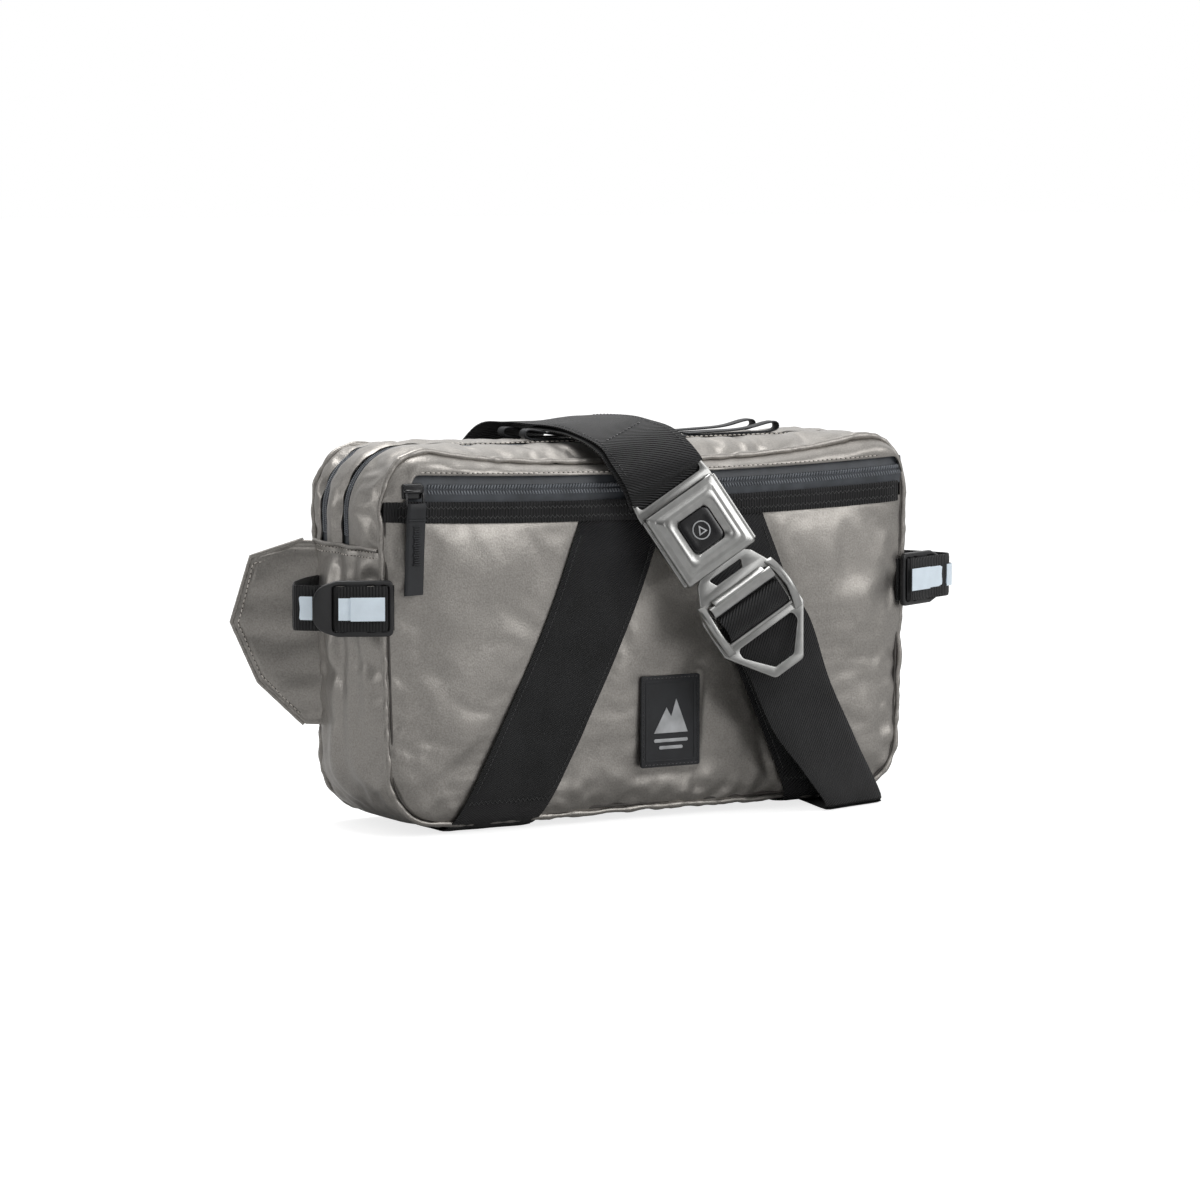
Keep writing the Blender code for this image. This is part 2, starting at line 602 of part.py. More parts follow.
def make_buckle():
    base = rounded([(-26.5, -COVER_LENGTH + 1, 2.0), (26.5, -COVER_LENGTH + 1, 2.0), (26.5, 2.0, 3.0),
                    (24.0, 17.5, 5.0), (-24.0, 17.5, 5.0), (-26.5, 2.0, 3.0)], steps=2)
    slot = rectangle(44.0, 7.0, 2.0, y=8.5)
    plate("buckle_base", [base, slot], 1.6, METAL, at(z=-6.6, base=BUCKLE))

    middle = -COVER_LENGTH / 2
    profile = ((0.0, -5.2), (0.0, -2.2), (1.6, -0.6), (3.2, -0.6), (5.6, 1.6), (8.0, 1.6), (11.0, 0.2))
    rings = []
    for inset, height in profile:
        outline = rectangle(COVER_WIDTH - 2 * inset, COVER_LENGTH - 2 * inset, 2.5, y=middle, steps=2)
        rings.append([(point.x, point.y, height) for point in outline])
    cover = loft("buckle_cover", rings, METAL, BUCKLE)
    cut(cover, (BUTTON_SIZE + 1.0, BUTTON_SIZE + 1.0, 20.0), at(y=middle, base=BUCKLE), 4.2)
    cut(cover, (COVER_WIDTH - 3.0, COVER_LENGTH - 1.5, 5.0), at(y=middle - 1.5, z=-4.1, base=BUCKLE), 0.5)

    button = rectangle(BUTTON_SIZE, BUTTON_SIZE, 3.8, steps=3)
    plate("buckle_button", [button], 1.6, GLOSS_BLACK, at(y=middle, z=0.6, base=BUCKLE))
    bow = ((-8.0, -2.2, 0), (-3.0, -1.2, -0.2), (0.0, -0.8, 0), (3.0, -1.2, 0.2), (8.0, -2.2, 0))
    spring = [((x, middle, z), (0, 3.0, 0), (lean, 0, 1)) for x, z, lean in bow]
    ribbon("button_spring", spring, 0.3, METAL, BUCKLE)
    make_tongue()


def make_tongue():
    """A stamped latch plate whose lower half is a webbing adjuster with a finger opening."""
    tip, side = 10.5, 30.0
    outline = rounded([(-14.0, -14.0, 3.0), (-14.0, -46.0, 0.0), (-20.0, -50.5, 1.0), (-24.0, -58.0, 3.0),
                       (-side, -70.0, 8.0), (-side, -93.5, 4.0), (-tip, -TONGUE_LENGTH, 4.0),
                       (tip, -TONGUE_LENGTH, 4.0), (side, -93.5, 4.0), (side, -70.0, 8.0),
                       (24.0, -58.0, 3.0), (20.0, -50.5, 1.0), (14.0, -46.0, 0.0), (14.0, -14.0, 3.0)],
                      steps=2)
    window = rectangle(20.0, 4.6, 0.8, y=-53.6, steps=2)
    latch_hole = rectangle(12.0, 10.0, 1.5, y=-30.0, steps=2)
    webbing_opening = rectangle(46.0, 25.0, 3.0, y=-76.5, steps=2)
    finger = rounded([(-20.0, -95.0, 2.5), (-20.0, -99.5, 3.0), (-6.5, -115.0, 3.0),
                      (6.5, -115.0, 3.0), (20.0, -99.5, 3.0), (20.0, -95.0, 2.5)], steps=2)
    holes = [window, latch_hole, webbing_opening, finger]
    plate("tongue_plate", [outline] + holes, 1.8, METAL, at(z=-4.2, base=BUCKLE))
    for word, side_x in (("left", -27.0), ("right", 27.0)):
        block(f"tongue_rail_{word}", (3.6, 24.0, 4.6), METAL,
              at(side_x, -78.0, -3.3 + GAP + 2.3, BUCKLE), 1.0)
    block("adjuster_bar", (49.4, 7.0, 4.6), METAL, at(0, -68.0, -3.3 + GAP + 2.3, BUCKLE), 1.6, 2)
    turns = ((-73.4, -7.6, -0.4, 1), (-74.6, -3.0, 1, 0.3), (-76.2, -0.6, 0.5, 1), (-79.6, 0.4, 0, 1),
             (-83.6, -0.6, -0.5, 1), (-86.2, -3.2, -1, 0.4), (-87.0, -7.6, -1, 0))
    wrap = [((0, y, z), (ADJUSTER_HALF, 0, 0), (0, facing_y, facing_z)) for y, z, facing_y, facing_z in turns]
    ribbon("adjuster_webbing", wrap, WEB_THICKNESS, WEBBING, BUCKLE)


# ---------------------------------------------------------------- zip sliders

def make_pocket_slider():
    front = PANEL_FACE_Y - GAP
    block("pocket_slider", (13.0, 2.4, 8.0), GLOSS_BLACK, at(SLIDER_X, front - 1.2, ZIP_Z), 0.8, 2)
    bail = [(x, front - 2.4 - GAP - 0.8 + y, ZIP_Z + z)
            for x, y, z in ((SLIDER_X - 5.5, 0, -4.4), (SLIDER_X - 5.5, 0, -1), (SLIDER_X + 5.5, 0, -1),
                            (SLIDER_X + 5.5, 0, -4.4))]
    tube("pocket_bail", bail, 0.7, GLOSS_BLACK)
    width, length = PULL_SIZE
    pull = rectangle(width, length, 1.0, x=SLIDER_X, y=ZIP_Z - 5.6 - length / 2, steps=1)
    plate("pocket_pull", [pull], PULL_THICKNESS, RUBBER, facing_front(front - 2 * PULL_THICKNESS))


def make_top_sliders():
    """Two zips with two sliders each, and a folded tape pull on each slider."""
    zips = (("front", sum(FRONT_ZIP_Y) / 2), ("rear", sum(REAR_ZIP_Y) / 2 - 0.6))
    for row, y in zips:
        for word, side, slider_x, reach in (("left", -1, 16.0, 72.0), ("right", 1, 29.0, 74.0)):
            top = BODY_TOP + GAP
            block(f"{row}_slider_{word}", (9.0, 7.0, 3.0), GLOSS_BLACK, at(slider_x, y, top + 1.5), 0.8)
            start = slider_x + side * 5.0
            end = start + side * reach
            run = ((start, 1.6), (end - side * 16, 1.6), (end - side * 4, 0.9), (end, 2.4),
                   (end - side * 3.0, 5.0), (end - side * 12, 4.6), (end - side * 18, 3.2))
            stations = []
            for index, (x, z) in enumerate(run):
                before, after = run[max(index - 1, 0)], run[min(index + 1, len(run) - 1)]
                along = Vector((after[0] - before[0], after[1] - before[1]))
                stations.append(((x, y, top + z), (0, 3.6, 0), (-along.y * side, 0, along.x * side)))
            ribbon(f"{row}_pull_{word}", stations, 1.0, RUBBER)


# ---------------------------------------------------------------- build

clear_scene()
FRAME = bpy.data.objects.new("bag_frame", None)
collection(COLLECTION).objects.link(FRAME)
FRAME.location = FRAME_SHIFT * MM
BUCKLE = buckle_frame()

make_gussets()
make_piping()
make_front()
make_back()
make_diagonals()
make_patch()
make_straps()
make_side(-1, "left")
make_side(1, "right")
make_buckle()
make_pocket_slider()
make_top_sliders()
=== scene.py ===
import json
import math

import bmesh
import bpy
import numpy as np
from mathutils import Matrix, Vector, noise
from mathutils.bvhtree import BVHTree


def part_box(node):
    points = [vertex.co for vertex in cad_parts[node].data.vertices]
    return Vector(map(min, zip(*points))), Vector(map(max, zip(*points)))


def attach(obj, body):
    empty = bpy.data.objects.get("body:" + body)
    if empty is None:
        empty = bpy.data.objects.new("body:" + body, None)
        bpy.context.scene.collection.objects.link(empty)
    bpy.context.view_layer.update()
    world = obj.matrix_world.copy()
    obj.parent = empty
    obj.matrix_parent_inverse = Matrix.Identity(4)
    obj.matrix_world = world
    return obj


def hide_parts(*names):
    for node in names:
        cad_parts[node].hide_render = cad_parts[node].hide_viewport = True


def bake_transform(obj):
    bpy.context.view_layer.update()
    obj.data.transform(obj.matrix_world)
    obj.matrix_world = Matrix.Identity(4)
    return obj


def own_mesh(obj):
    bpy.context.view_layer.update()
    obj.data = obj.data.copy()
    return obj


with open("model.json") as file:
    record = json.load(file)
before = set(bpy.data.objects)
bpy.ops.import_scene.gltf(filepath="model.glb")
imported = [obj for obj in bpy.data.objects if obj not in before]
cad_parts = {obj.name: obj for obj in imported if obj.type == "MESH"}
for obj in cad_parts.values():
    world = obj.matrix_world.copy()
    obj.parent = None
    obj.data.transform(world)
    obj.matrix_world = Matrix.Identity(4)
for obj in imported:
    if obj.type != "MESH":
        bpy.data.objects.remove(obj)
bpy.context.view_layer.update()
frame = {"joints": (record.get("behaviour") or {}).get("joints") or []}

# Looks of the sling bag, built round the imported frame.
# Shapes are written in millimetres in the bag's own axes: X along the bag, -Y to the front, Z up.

MM = 0.001
SCENE = bpy.context.scene
PIPING_LOW, PIPING_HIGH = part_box("front_piping")

# Bag body, as in the frame
FRONT_SEAM_Y = -40.5
REAR_SEAM_Y = 43.0
SHIFT_Y = (PIPING_LOW.y + PIPING_HIGH.y) / 2 / MM - FRONT_SEAM_Y
BODY_BOTTOM = 4.4
BODY_TOP = 221.5
HALF_WIDTH_TOP = 181.0
HALF_WIDTH_BOTTOM = 174.0
TOP_RADIUS = 38.0
BOTTOM_RADIUS = 34.0
HEM_Z = 166.0                   # top edge of the side panels
FRONT_ZIP_Y = (-6.0, 2.6)
REAR_ZIP_Y = (20.0, 31.0)
SEAM_INSET = 3.0
WALL_Y = (-38.9, REAR_SEAM_Y - 1.6)     # the wall's cloth between its seams
TOP_COLUMNS = 150
LOW_COLUMNS = 170
PANEL_DEPTH = 6.0               # how far the front panel stands in front of its seam

# Front pocket
BAND_BOTTOM = 178.6
BAND_TOP = 190.8
ZIP_Z = 197.0
SLIDER_X = -161.0
SLIDER_Z = 199.0

FRONT_FACE = FRONT_SEAM_Y - PANEL_DEPTH
TEETH_PITCH = 1.9

CLOTH_THICKNESS = 0.9
WEB_THICKNESS = 1.4
BELT_WIDTH = 50.0
LOCK_WEB_WIDTH = 25.7
REFLECTIVE_WIDTH = 13.4
DIAGONAL_HALF = 28.5
WING_ANGLE = math.radians(40.0)
WING_HINGE = Vector((181.4, 45.2))
CUP = 1.2                       # how far a wing bows backwards
WING_STITCH_INSET = 4.6
LOCK_ANGLE = math.radians(25.0)
LOCK_PIVOT = Vector((174.4, -46.4))
LOCK_Z = 133.0
BUCKLE_ORIGIN = Vector((2.4, -68.5, 191.7))
COVER_WIDTH = 50.0
COVER_LENGTH = 48.0
BUTTON_SIZE = 22.0
TONGUE_LENGTH = 121.0

# Studio
FLOOR_LIFT = 0.78               # glow of the floor that only the camera sees
WORLD_GLOW = 0.05               # light from every side
# Soft patches of sky: direction, cosines at which each starts and is full, strength
SKY = (((0.0, 0.0, 1.0), 0.1, 0.95, 0.7), ((0.62, 0.78, 0.0), 0.3, 0.95, 0.9),
       ((0.66, -0.72, 0.22), 0.7, 0.985, 0.62), ((-0.9, 0.42, 0.0), 0.92, 0.995, 0.5))
# Name, place in metres, size in metres, watts
LAMPS = (("key", (1.1, -1.7, 1.1), 1.3, 14.5), ("top", (-0.1, 0.35, 1.6), 0.9, 14.0),
         ("rim", (-1.9, 1.1, 0.7), 0.25, 4.0), ("low", (-0.9, -1.9, 0.5), 0.35, 2.0))


# ---------------------------------------------------------------- materials

def node_maker(tree):
    """A helper that adds a node to a tree; its values are constants or sockets to link."""
    def node(kind, values=None, **settings):
        item = tree.nodes.new("ShaderNode" + kind)
        for key, value in settings.items():
            setattr(item, key, value)
        for key, value in (values or {}).items():
            if isinstance(value, bpy.types.NodeSocket):
                tree.links.new(value, item.inputs[key])
            else:
                item.inputs[key].default_value = value
        return item

    return node


def principled(name, colour, roughness, metallic=0.0, **sockets):
    """A Principled material, with helpers that add nodes to it and link them into its shader."""
    made = bpy.data.materials.new(name)
    made.use_nodes = True
    shader = made.node_tree.nodes["Principled BSDF"]
    shader.inputs["Base Color"].default_value = (*colour, 1.0)
    shader.inputs["Roughness"].default_value = roughness
    shader.inputs["Metallic"].default_value = metallic
    for socket, value in sockets.items():
        shader.inputs[socket.replace("_", " ")].default_value = value

    def into(socket, value):
        made.node_tree.links.new(value, shader.inputs[socket])

    return made, node_maker(made.node_tree), into


def noise_field(node, scale, detail=4.0, stretch=(1, 1, 1), source="Object"):
    place = node("Mapping", {"Vector": node("TexCoord").outputs[source], "Scale": stretch})
    values = {"Vector": place.outputs["Vector"], "Scale": scale, "Detail": detail}
    return node("TexNoise", values).outputs["Fac"]


def ramp(node, value, stops):
    item = node("ValToRGB", {"Fac": value})
    item.color_ramp.elements[0].position, item.color_ramp.elements[1].position = stops[0][0], stops[-1][0]
    item.color_ramp.elements[0].color = (*stops[0][1], 1)
    item.color_ramp.elements[1].color = (*stops[-1][1], 1)
    for position, colour in stops[1:-1]:
        item.color_ramp.elements.new(position).color = (*colour, 1)
    return item.outputs["Color"]


def span(node, value, low, high):
    """Turn a 0 to 1 value into low to high."""
    return node("MapRange", {"Value": value, "To Min": low, "To Max": high}).outputs["Result"]


def bump(node, height, distance, strength=1.0, before=None):
    values = {"Height": height, "Distance": distance, "Strength": strength}
    if before:
        values["Normal"] = before
    return node("Bump", values).outputs["Normal"]


def coated_fabric(name, colour, roughness=0.43, metallic=0.92):
    """Metallic coated nylon: soft sheen, small creases and a very fine weave."""
    made, node, into = principled(name, colour, roughness, metallic, Sheen_Weight=0.1)
    cloud = noise_field(node, 26.0, 5.0)
    grain = noise_field(node, 1000.0, 2.0)
    dark = tuple(channel * 0.78 for channel in colour)
    light = tuple(min(1.0, channel * 1.22) for channel in colour)
    mixed = node("Math", {0: span(node, cloud, -0.12, 0.12), 1: grain}, operation="ADD").outputs[0]
    into("Base Color", ramp(node, mixed, ((0.2, dark), (0.8, light))))
    into("Roughness", span(node, cloud, roughness - 0.08, roughness + 0.08))
    crinkle = bump(node, noise_field(node, 16.0, 3.0), 0.004, 0.35)
    crease = bump(node, noise_field(node, 90.0, 2.0), 0.0006, 0.2, crinkle)
    into("Normal", bump(node, grain, 0.0002, 0.55, crease))
    return made


def woven_webbing(name, colour, slant=0.8, pitch=0.002):
    """Tight seat-belt webbing with fine slanted ribs."""
    made, node, into = principled(name, colour, 0.5, Sheen_Weight=0.05, Sheen_Roughness=0.4,
                                  Specular_IOR_Level=0.3)
    place = node("SeparateXYZ", {"Vector": node("UVMap", uv_map="weave").outputs["UV"]})
    turn = node("Math", {0: place.outputs["Y"], 1: slant}, operation="MULTIPLY").outputs[0]
    along = node("Math", {0: place.outputs["X"], 1: turn}, operation="ADD").outputs[0]
    wave = node("Math", {0: node("Math", {0: along, 1: 2 * math.pi / pitch}, operation="MULTIPLY").outputs[0]},
                operation="SINE").outputs[0]
    rib = span(node, wave, 0.35, 0.65)
    cloud = noise_field(node, 45.0, 3.0)
    mixed = node("Math", {0: rib, 1: cloud}, operation="MULTIPLY").outputs[0]
    dark = tuple(channel * 0.55 for channel in colour)
    light = tuple(channel * 2.8 for channel in colour)
    into("Base Color", ramp(node, mixed, ((0.1, dark), (0.45, light))))
    into("Roughness", span(node, cloud, 0.42, 0.6))
    into("Normal", bump(node, wave, 0.0003, 0.9))
    return made


def grained(name, colour, roughness, scale, depth, metallic=0.0, vary=1.0, **sockets):
    """Moulded plastic, rubber or coated tape with a fine grain and slight wear."""
    made, node, into = principled(name, colour, roughness, metallic, **sockets)
    cloud = noise_field(node, scale / 12, 3.0)
    light = tuple(min(1.0, channel * (1 + 0.35 * vary) + 0.002) for channel in colour)
    dark = tuple(channel * (1 - 0.25 * vary) for channel in colour)
    into("Base Color", ramp(node, cloud, ((0.3, dark), (0.7, light))))
    into("Roughness", span(node, cloud, roughness * 0.85, min(1.0, roughness * 1.2)))
    into("Normal", bump(node, noise_field(node, scale, 2.0), depth, 0.6))
    return made


def brushed_metal(name, colour, roughness=0.26):
    """Nickel plate with fine lines across the buckle and small scuffs."""
    made, node, into = principled(name, colour, roughness, 1.0)
    lines = noise_field(node, 60.0, 4.0, stretch=(1.5, 60, 8))
    scuff = noise_field(node, 170.0, 6.0)
    dark = tuple(channel * 0.88 for channel in colour)
    into("Base Color", ramp(node, scuff, ((0.34, dark), (0.6, colour))))
    into("Roughness", span(node, lines, roughness - 0.04, roughness + 0.08))
    into("Normal", bump(node, lines, 0.00001, 0.12))
    return made


LOOKS = {
    "fabric": coated_fabric("coated_fabric", (0.34, 0.322, 0.3)),
    "fabric_back": grained("padded_mesh", (0.06, 0.058, 0.056), 0.7, 900.0, 0.0004, Sheen_Weight=0.3),
    "lining": grained("lining_cloth", (0.05, 0.05, 0.05), 0.8, 800.0, 0.0002),
    "webbing": woven_webbing("seat_belt_webbing", (0.0085, 0.0085, 0.009)),
    "grosgrain": woven_webbing("ribbed_webbing", (0.009, 0.009, 0.0095), 0.0, 0.0018),
    "zip_tape": grained("coated_zip_tape", (0.046, 0.052, 0.061), 0.5, 1200.0, 0.00008),
    "zip_teeth": grained("zip_teeth", (0.15, 0.162, 0.18), 0.38, 900.0, 0.00005),
    "metal": brushed_metal("brushed_nickel", (0.41, 0.41, 0.4), 0.28),
    "gloss": grained("gloss_black", (0.008, 0.008, 0.009), 0.2, 500.0, 0.00003, Coat_Weight=0.3),
    "plastic": grained("moulded_black", (0.014, 0.014, 0.015), 0.36, 700.0, 0.00006),
    "rubber": grained("black_rubber", (0.011, 0.012, 0.0145), 0.55, 1100.0, 0.0001),
    # painted glow: the tape's faint pale-blue emission stands in for light thrown back by the reflective tape
    "reflective": grained("reflective_tape", (0.66, 0.75, 0.82), 0.4, 1600.0, 0.00006, metallic=0.1, vary=0.15,
                          Emission_Color=(0.8, 0.9, 1.0, 1.0), Emission_Strength=0.12),
    "emblem": grained("emblem_print", (0.42, 0.43, 0.44), 0.5, 900.0, 0.00005),
    "thread": grained("taupe_thread", (0.6, 0.56, 0.51), 0.6, 1500.0, 0.0001, Sheen_Weight=0.3),
    # painted shade: a near-black finish for the rods between stitch dashes, where the thread's shadow falls
    "painted_stitch_shade": grained("painted_stitch_shade", (0.03, 0.027, 0.025), 0.9, 900.0, 0.0001),
    "black_thread": grained("black_thread", (0.02, 0.02, 0.021), 0.6, 1500.0, 0.0001, Sheen_Weight=0.5),
    "seam": grained("seam_shadow", (0.07, 0.064, 0.059), 0.8, 900.0, 0.0002),
}


# ---------------------------------------------------------------- mesh helpers

def metres(points):
    """Bag millimetres to row-frame metres."""
    return (np.asarray(points, float).reshape(-1, 3) + (0, SHIFT_Y, 0)) * MM


def make_piece(name, points, faces, look, body="bag", stands_for=(), weave=None, place=None, smooth=60):
    """A mesh piece in bag axes, or in the axes of its place.

    weave holds an (along, across) pair in metres for each point.
    """
    mesh = bpy.data.meshes.new(name)
    verts = metres(points) if place is None else np.asarray(points, float).reshape(-1, 3) * MM
    mesh.from_pydata(verts.tolist(), [], [list(face) for face in faces])
    mesh.materials.append(LOOKS[look])
    if weave is not None:
        layer = mesh.uv_layers.new(name="weave")
        corners = np.empty(len(mesh.loops), np.int32)
        mesh.loops.foreach_get("vertex_index", corners)
        layer.data.foreach_set("uv", np.asarray(weave, np.float32)[corners].ravel())
    item = bpy.data.objects.new(name, mesh)
    SCENE.collection.objects.link(item)
    if place is not None:
        item.matrix_world = place
    return settle(item, body, stands_for, smooth)


def settle(item, body, stands_for=(), smooth=60):
    """Shade a piece, let it ride, and let it stand for CAD nodes."""
    mesh = item.data
    mesh.shade_smooth()
    if smooth:
        mesh.set_sharp_from_angle(angle=math.radians(smooth))
    if body:
        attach(item, body)
    if stands_for:
        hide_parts(*stands_for)
    return item


def grid_faces(rows, columns, closed=False):
    """Quads between the points of a grid; a closed one joins its last column to its first."""
    faces = []
    for row in range(rows - 1):
        for column in range(columns if closed else columns - 1):
            after = (column + 1) % columns
            first, second = row * columns, (row + 1) * columns
            faces.append((first + column, first + after, second + after, second + column))
    return faces


def grid_weave(grid):
    """Distances along the first row's and column's directions, in metres."""
    rows = np.cumsum(np.r_[0, np.linalg.norm(np.diff(grid[:, grid.shape[1] // 2], axis=0), axis=1)])
    columns = np.cumsum(np.r_[0, np.linalg.norm(np.diff(grid[grid.shape[0] // 2], axis=0), axis=1)])
    table = np.empty(grid.shape[:2] + (2,))
    table[..., 0] = columns[None, :] * MM
    table[..., 1] = rows[:, None] * MM
    return table.reshape(-1, 2)


def modify(item, kind, **settings):
    """Add a modifier and apply it at once."""
    modifier = item.modifiers.new(kind.lower(), kind)
    for key, value in settings.items():
        setattr(modifier, key, value)
    graph = bpy.context.evaluated_depsgraph_get()
    mesh = bpy.data.meshes.new_from_object(item.evaluated_get(graph))
    item.modifiers.clear()
    item.data = mesh
    return item


def cloth_piece(name, grid, look, body="bag", stands_for=(), thickness=CLOTH_THICKNESS, outward=None,
                finer=1):
    """A sheet through a grid of points, given a thickness on its inner side."""
    grid = np.asarray(grid, float)
    item = make_piece(name, grid, grid_faces(*grid.shape[:2]), look, None, (), grid_weave(grid))
    if outward is not None:
        face_outward(item, outward)
    if finer:
        modify(item, "SUBSURF", levels=finer, render_levels=finer)
    modify(item, "SOLIDIFY", thickness=thickness * MM, offset=-1.0)
    return settle(item, body, stands_for)


def face_outward(item, outward):
    """Turn the sheet so that its middle faces along a direction."""
    mesh = item.data
    middle = mesh.polygons[len(mesh.polygons) // 2]
    if middle.normal.dot(Vector(outward)) < 0:
        mesh.flip_normals()


CLOTH_RULES = {"quality": 6, "mass": 0.2, "tension_stiffness": 20, "compression_stiffness": 20,
               "shear_stiffness": 8, "bending_stiffness": 0.25, "use_pressure": True}


def simulate(grid, pins, cap, pressure=3.0, slack=0.02, frames=24, outward=(0, -1, 0)):
    """Let a sheet swell between its pinned points; no point moves further than cap."""
    shape = grid.shape
    mesh = bpy.data.meshes.new("swelling")
    mesh.from_pydata(metres(grid).tolist(), [], grid_faces(*shape[:2]))
    item = bpy.data.objects.new("swelling", mesh)
    SCENE.collection.objects.link(item)
    face_outward(item, outward)
    group = item.vertex_groups.new(name="pins")
    group.add([int(index) for index in np.flatnonzero(pins.ravel())], 1.0, "REPLACE")
    cloth = item.modifiers.new("cloth", "CLOTH")
    rules = cloth.settings
    for key, value in CLOTH_RULES.items():
        setattr(rules, key, value)
    rules.uniform_pressure_force = pressure
    rules.shrink_min = rules.shrink_max = -slack
    rules.vertex_group_mass = "pins"
    rules.effector_weights.gravity = 0
    cloth.point_cache.frame_start = 1
    cloth.point_cache.frame_end = frames
    for step in range(1, frames + 1):
        SCENE.frame_set(step)
    moved = np.empty(len(mesh.vertices) * 3, np.float32)
    graph = bpy.context.evaluated_depsgraph_get()
    item.evaluated_get(graph).data.vertices.foreach_get("co", moved)
    SCENE.frame_set(1)
    bpy.data.objects.remove(item)
    start = metres(grid)
    shift = moved.reshape(-1, 3).astype(float) - start
    length = np.linalg.norm(shift, axis=1, keepdims=True)
    shift *= np.minimum(1.0, cap * MM / np.maximum(length, 1e-9))
    return (grid.reshape(-1, 3) + shift / MM).reshape(shape)


def ripple(points, scale, seed=0.0):
    """Smooth noise, about -1 to 1, at bag points; scale is the size of a ripple in mm."""
    flat = np.asarray(points, float).reshape(-1, 3)
    values = [noise.noise(Vector(point) / scale + Vector((seed, seed * 1.7, -seed))) for point in flat]
    return np.array(values).reshape(np.asarray(points).shape[:-1])


def smoothstep(low, high, value):
    """0 at low, 1 at high, and smooth between them."""
    share = np.clip((np.asarray(value, float) - low) / (high - low), 0, 1)
    return share * share * (3 - 2 * share)


def curve_points(knots, step):
    """A Catmull-Rom curve through knots, with a point about every step mm."""
    knots = np.asarray(knots, float)
    padded = np.vstack([2 * knots[0] - knots[1], knots, 2 * knots[-1] - knots[-2]])
    made = []
    for index in range(1, len(padded) - 2):
        a, b, c, d = padded[index - 1:index + 3]
        count = max(1, int(round(np.linalg.norm((c - b)[:3]) / step)))
        for share in np.arange(count) / count:
            made.append(0.5 * ((2 * b) + (c - a) * share + (2 * a - 5 * b + 4 * c - d) * share ** 2
                               + (3 * b - a - 3 * c + d) * share ** 3))
    made.append(knots[-1])
    return np.array(made)


def webbing(name, stations, width, thickness=WEB_THICKNESS, look="webbing", body="bag", stands_for=(),
            step=3.0, waviness=0.25, place=None):
    """Webbing through stations of (middle, across, normal), with rounded edges and its own weave."""
    rows = []
    for middle, across, normal in stations:
        normal = Vector(normal).normalized()
        across = Vector(across)
        across = (across - normal * across.dot(normal)).normalized()
        rows.append((*middle, *across, *normal))
    fine = curve_points(rows, step)
    middle = fine[:, :3]
    normal = fine[:, 6:9] / np.linalg.norm(fine[:, 6:9], axis=1, keepdims=True)
    across = fine[:, 3:6] - normal * np.sum(fine[:, 3:6] * normal, axis=1, keepdims=True)
    across /= np.linalg.norm(across, axis=1, keepdims=True)
    run = np.cumsum(np.r_[0, np.linalg.norm(np.diff(middle, axis=0), axis=1)])
    profile = [(share, 1.0 if abs(share) < 0.93 else 0.45) for share in np.linspace(-1, 1, 14)]
    ring = [(share, rise) for share, rise in profile] + [(share, -rise) for share, rise in reversed(profile)]
    half, lift = width / 2, thickness / 2
    points, weave = [], []
    for index in range(len(middle)):
        for share, rise in ring:
            wave = waviness * noise.noise(Vector((run[index] / 22, share * 1.3, len(name))))
            point = middle[index] + across[index] * half * share + normal[index] * (lift * rise + wave)
            points.append(point)
            weave.append((run[index] * MM, half * share * MM))
    count = len(ring)
    faces = [tuple(reversed(face)) for face in grid_faces(len(middle), count, closed=True)]
    last = (len(middle) - 1) * count
    half_ring = count // 2
    for offset, flip in ((0, False), (last, True)):
        for column in range(half_ring - 1):
            beyond = offset + count - 1 - column
            quad = (offset + column, offset + column + 1, beyond - 1, beyond)
            faces.append(tuple(reversed(quad)) if flip else quad)
    return make_piece(name, points, faces, look, body, stands_for, weave, place, smooth=50)


def stretched(rows, count):
    """Repeat or drop rows evenly, so that there are count of them."""
    if len(rows) == count:
        return np.asarray(rows)
    return np.array([rows[min(len(rows) - 1, int(index * len(rows) / count))] for index in range(count)])


def stitches(name, points, normals, look="thread", body="bag", pitch=3.3, length=2.2, radius=0.4):
    """Thread dashes along a path: small round-ended rods, half sunk in the cloth; light thread gets dark rods of
    painted shade in its gaps.
    """
    path = curve_points(points, 1.0)
    facing = np.repeat([normals[0]], len(path), 0)
    if len(normals) == len(points):
        facing = stretched(curve_points(normals, 1.0), len(path))
    run = np.cumsum(np.r_[0, np.linalg.norm(np.diff(path, axis=0), axis=1)])

    def rods(label, starts, size, thick, finish):
        verts, faces = [], []
        for start in starts:
            ends = [np.array([np.interp(start + part, run, path[:, axis]) for axis in range(3)])
                    for part in (0, size * 0.5, size)]
            up = np.array([np.interp(start, run, facing[:, axis]) for axis in range(3)])
            up /= max(np.linalg.norm(up), 1e-9)
            ahead = ends[2] - ends[0]
            ahead /= max(np.linalg.norm(ahead), 1e-9)
            across = np.cross(ahead, up)
            base = len(verts)
            for centre, lift, share in ((ends[0], -0.1, 0.45), (ends[1], 0.1, 1.0), (ends[2], -0.1, 0.45)):
                for turn in range(6):
                    angle = turn * math.pi / 3
                    verts.append(centre + up * (lift + math.sin(angle) * thick * share)
                                 + across * math.cos(angle) * thick * share)
            faces += [tuple(base + index for index in face) for face in grid_faces(3, 6, closed=True)]
            faces.append(tuple(base + turn for turn in reversed(range(6))))
            faces.append(tuple(base + 12 + turn for turn in range(6)))
        item = make_piece(label, verts, faces, finish, body, smooth=0)
        recalculate(item)
        return item

    starts = np.arange(0.4, run[-1] - pitch, pitch)
    made = [rods(name, starts, length, radius, look)]
    # dark rods in the gaps between the dashes are painted shade beside the light thread
    if look == "thread":
        gap = pitch - length - 0.1
        made.append(rods(name + "_holes", starts + length + 0.05, gap, radius * 0.85, "painted_stitch_shade"))
    return made


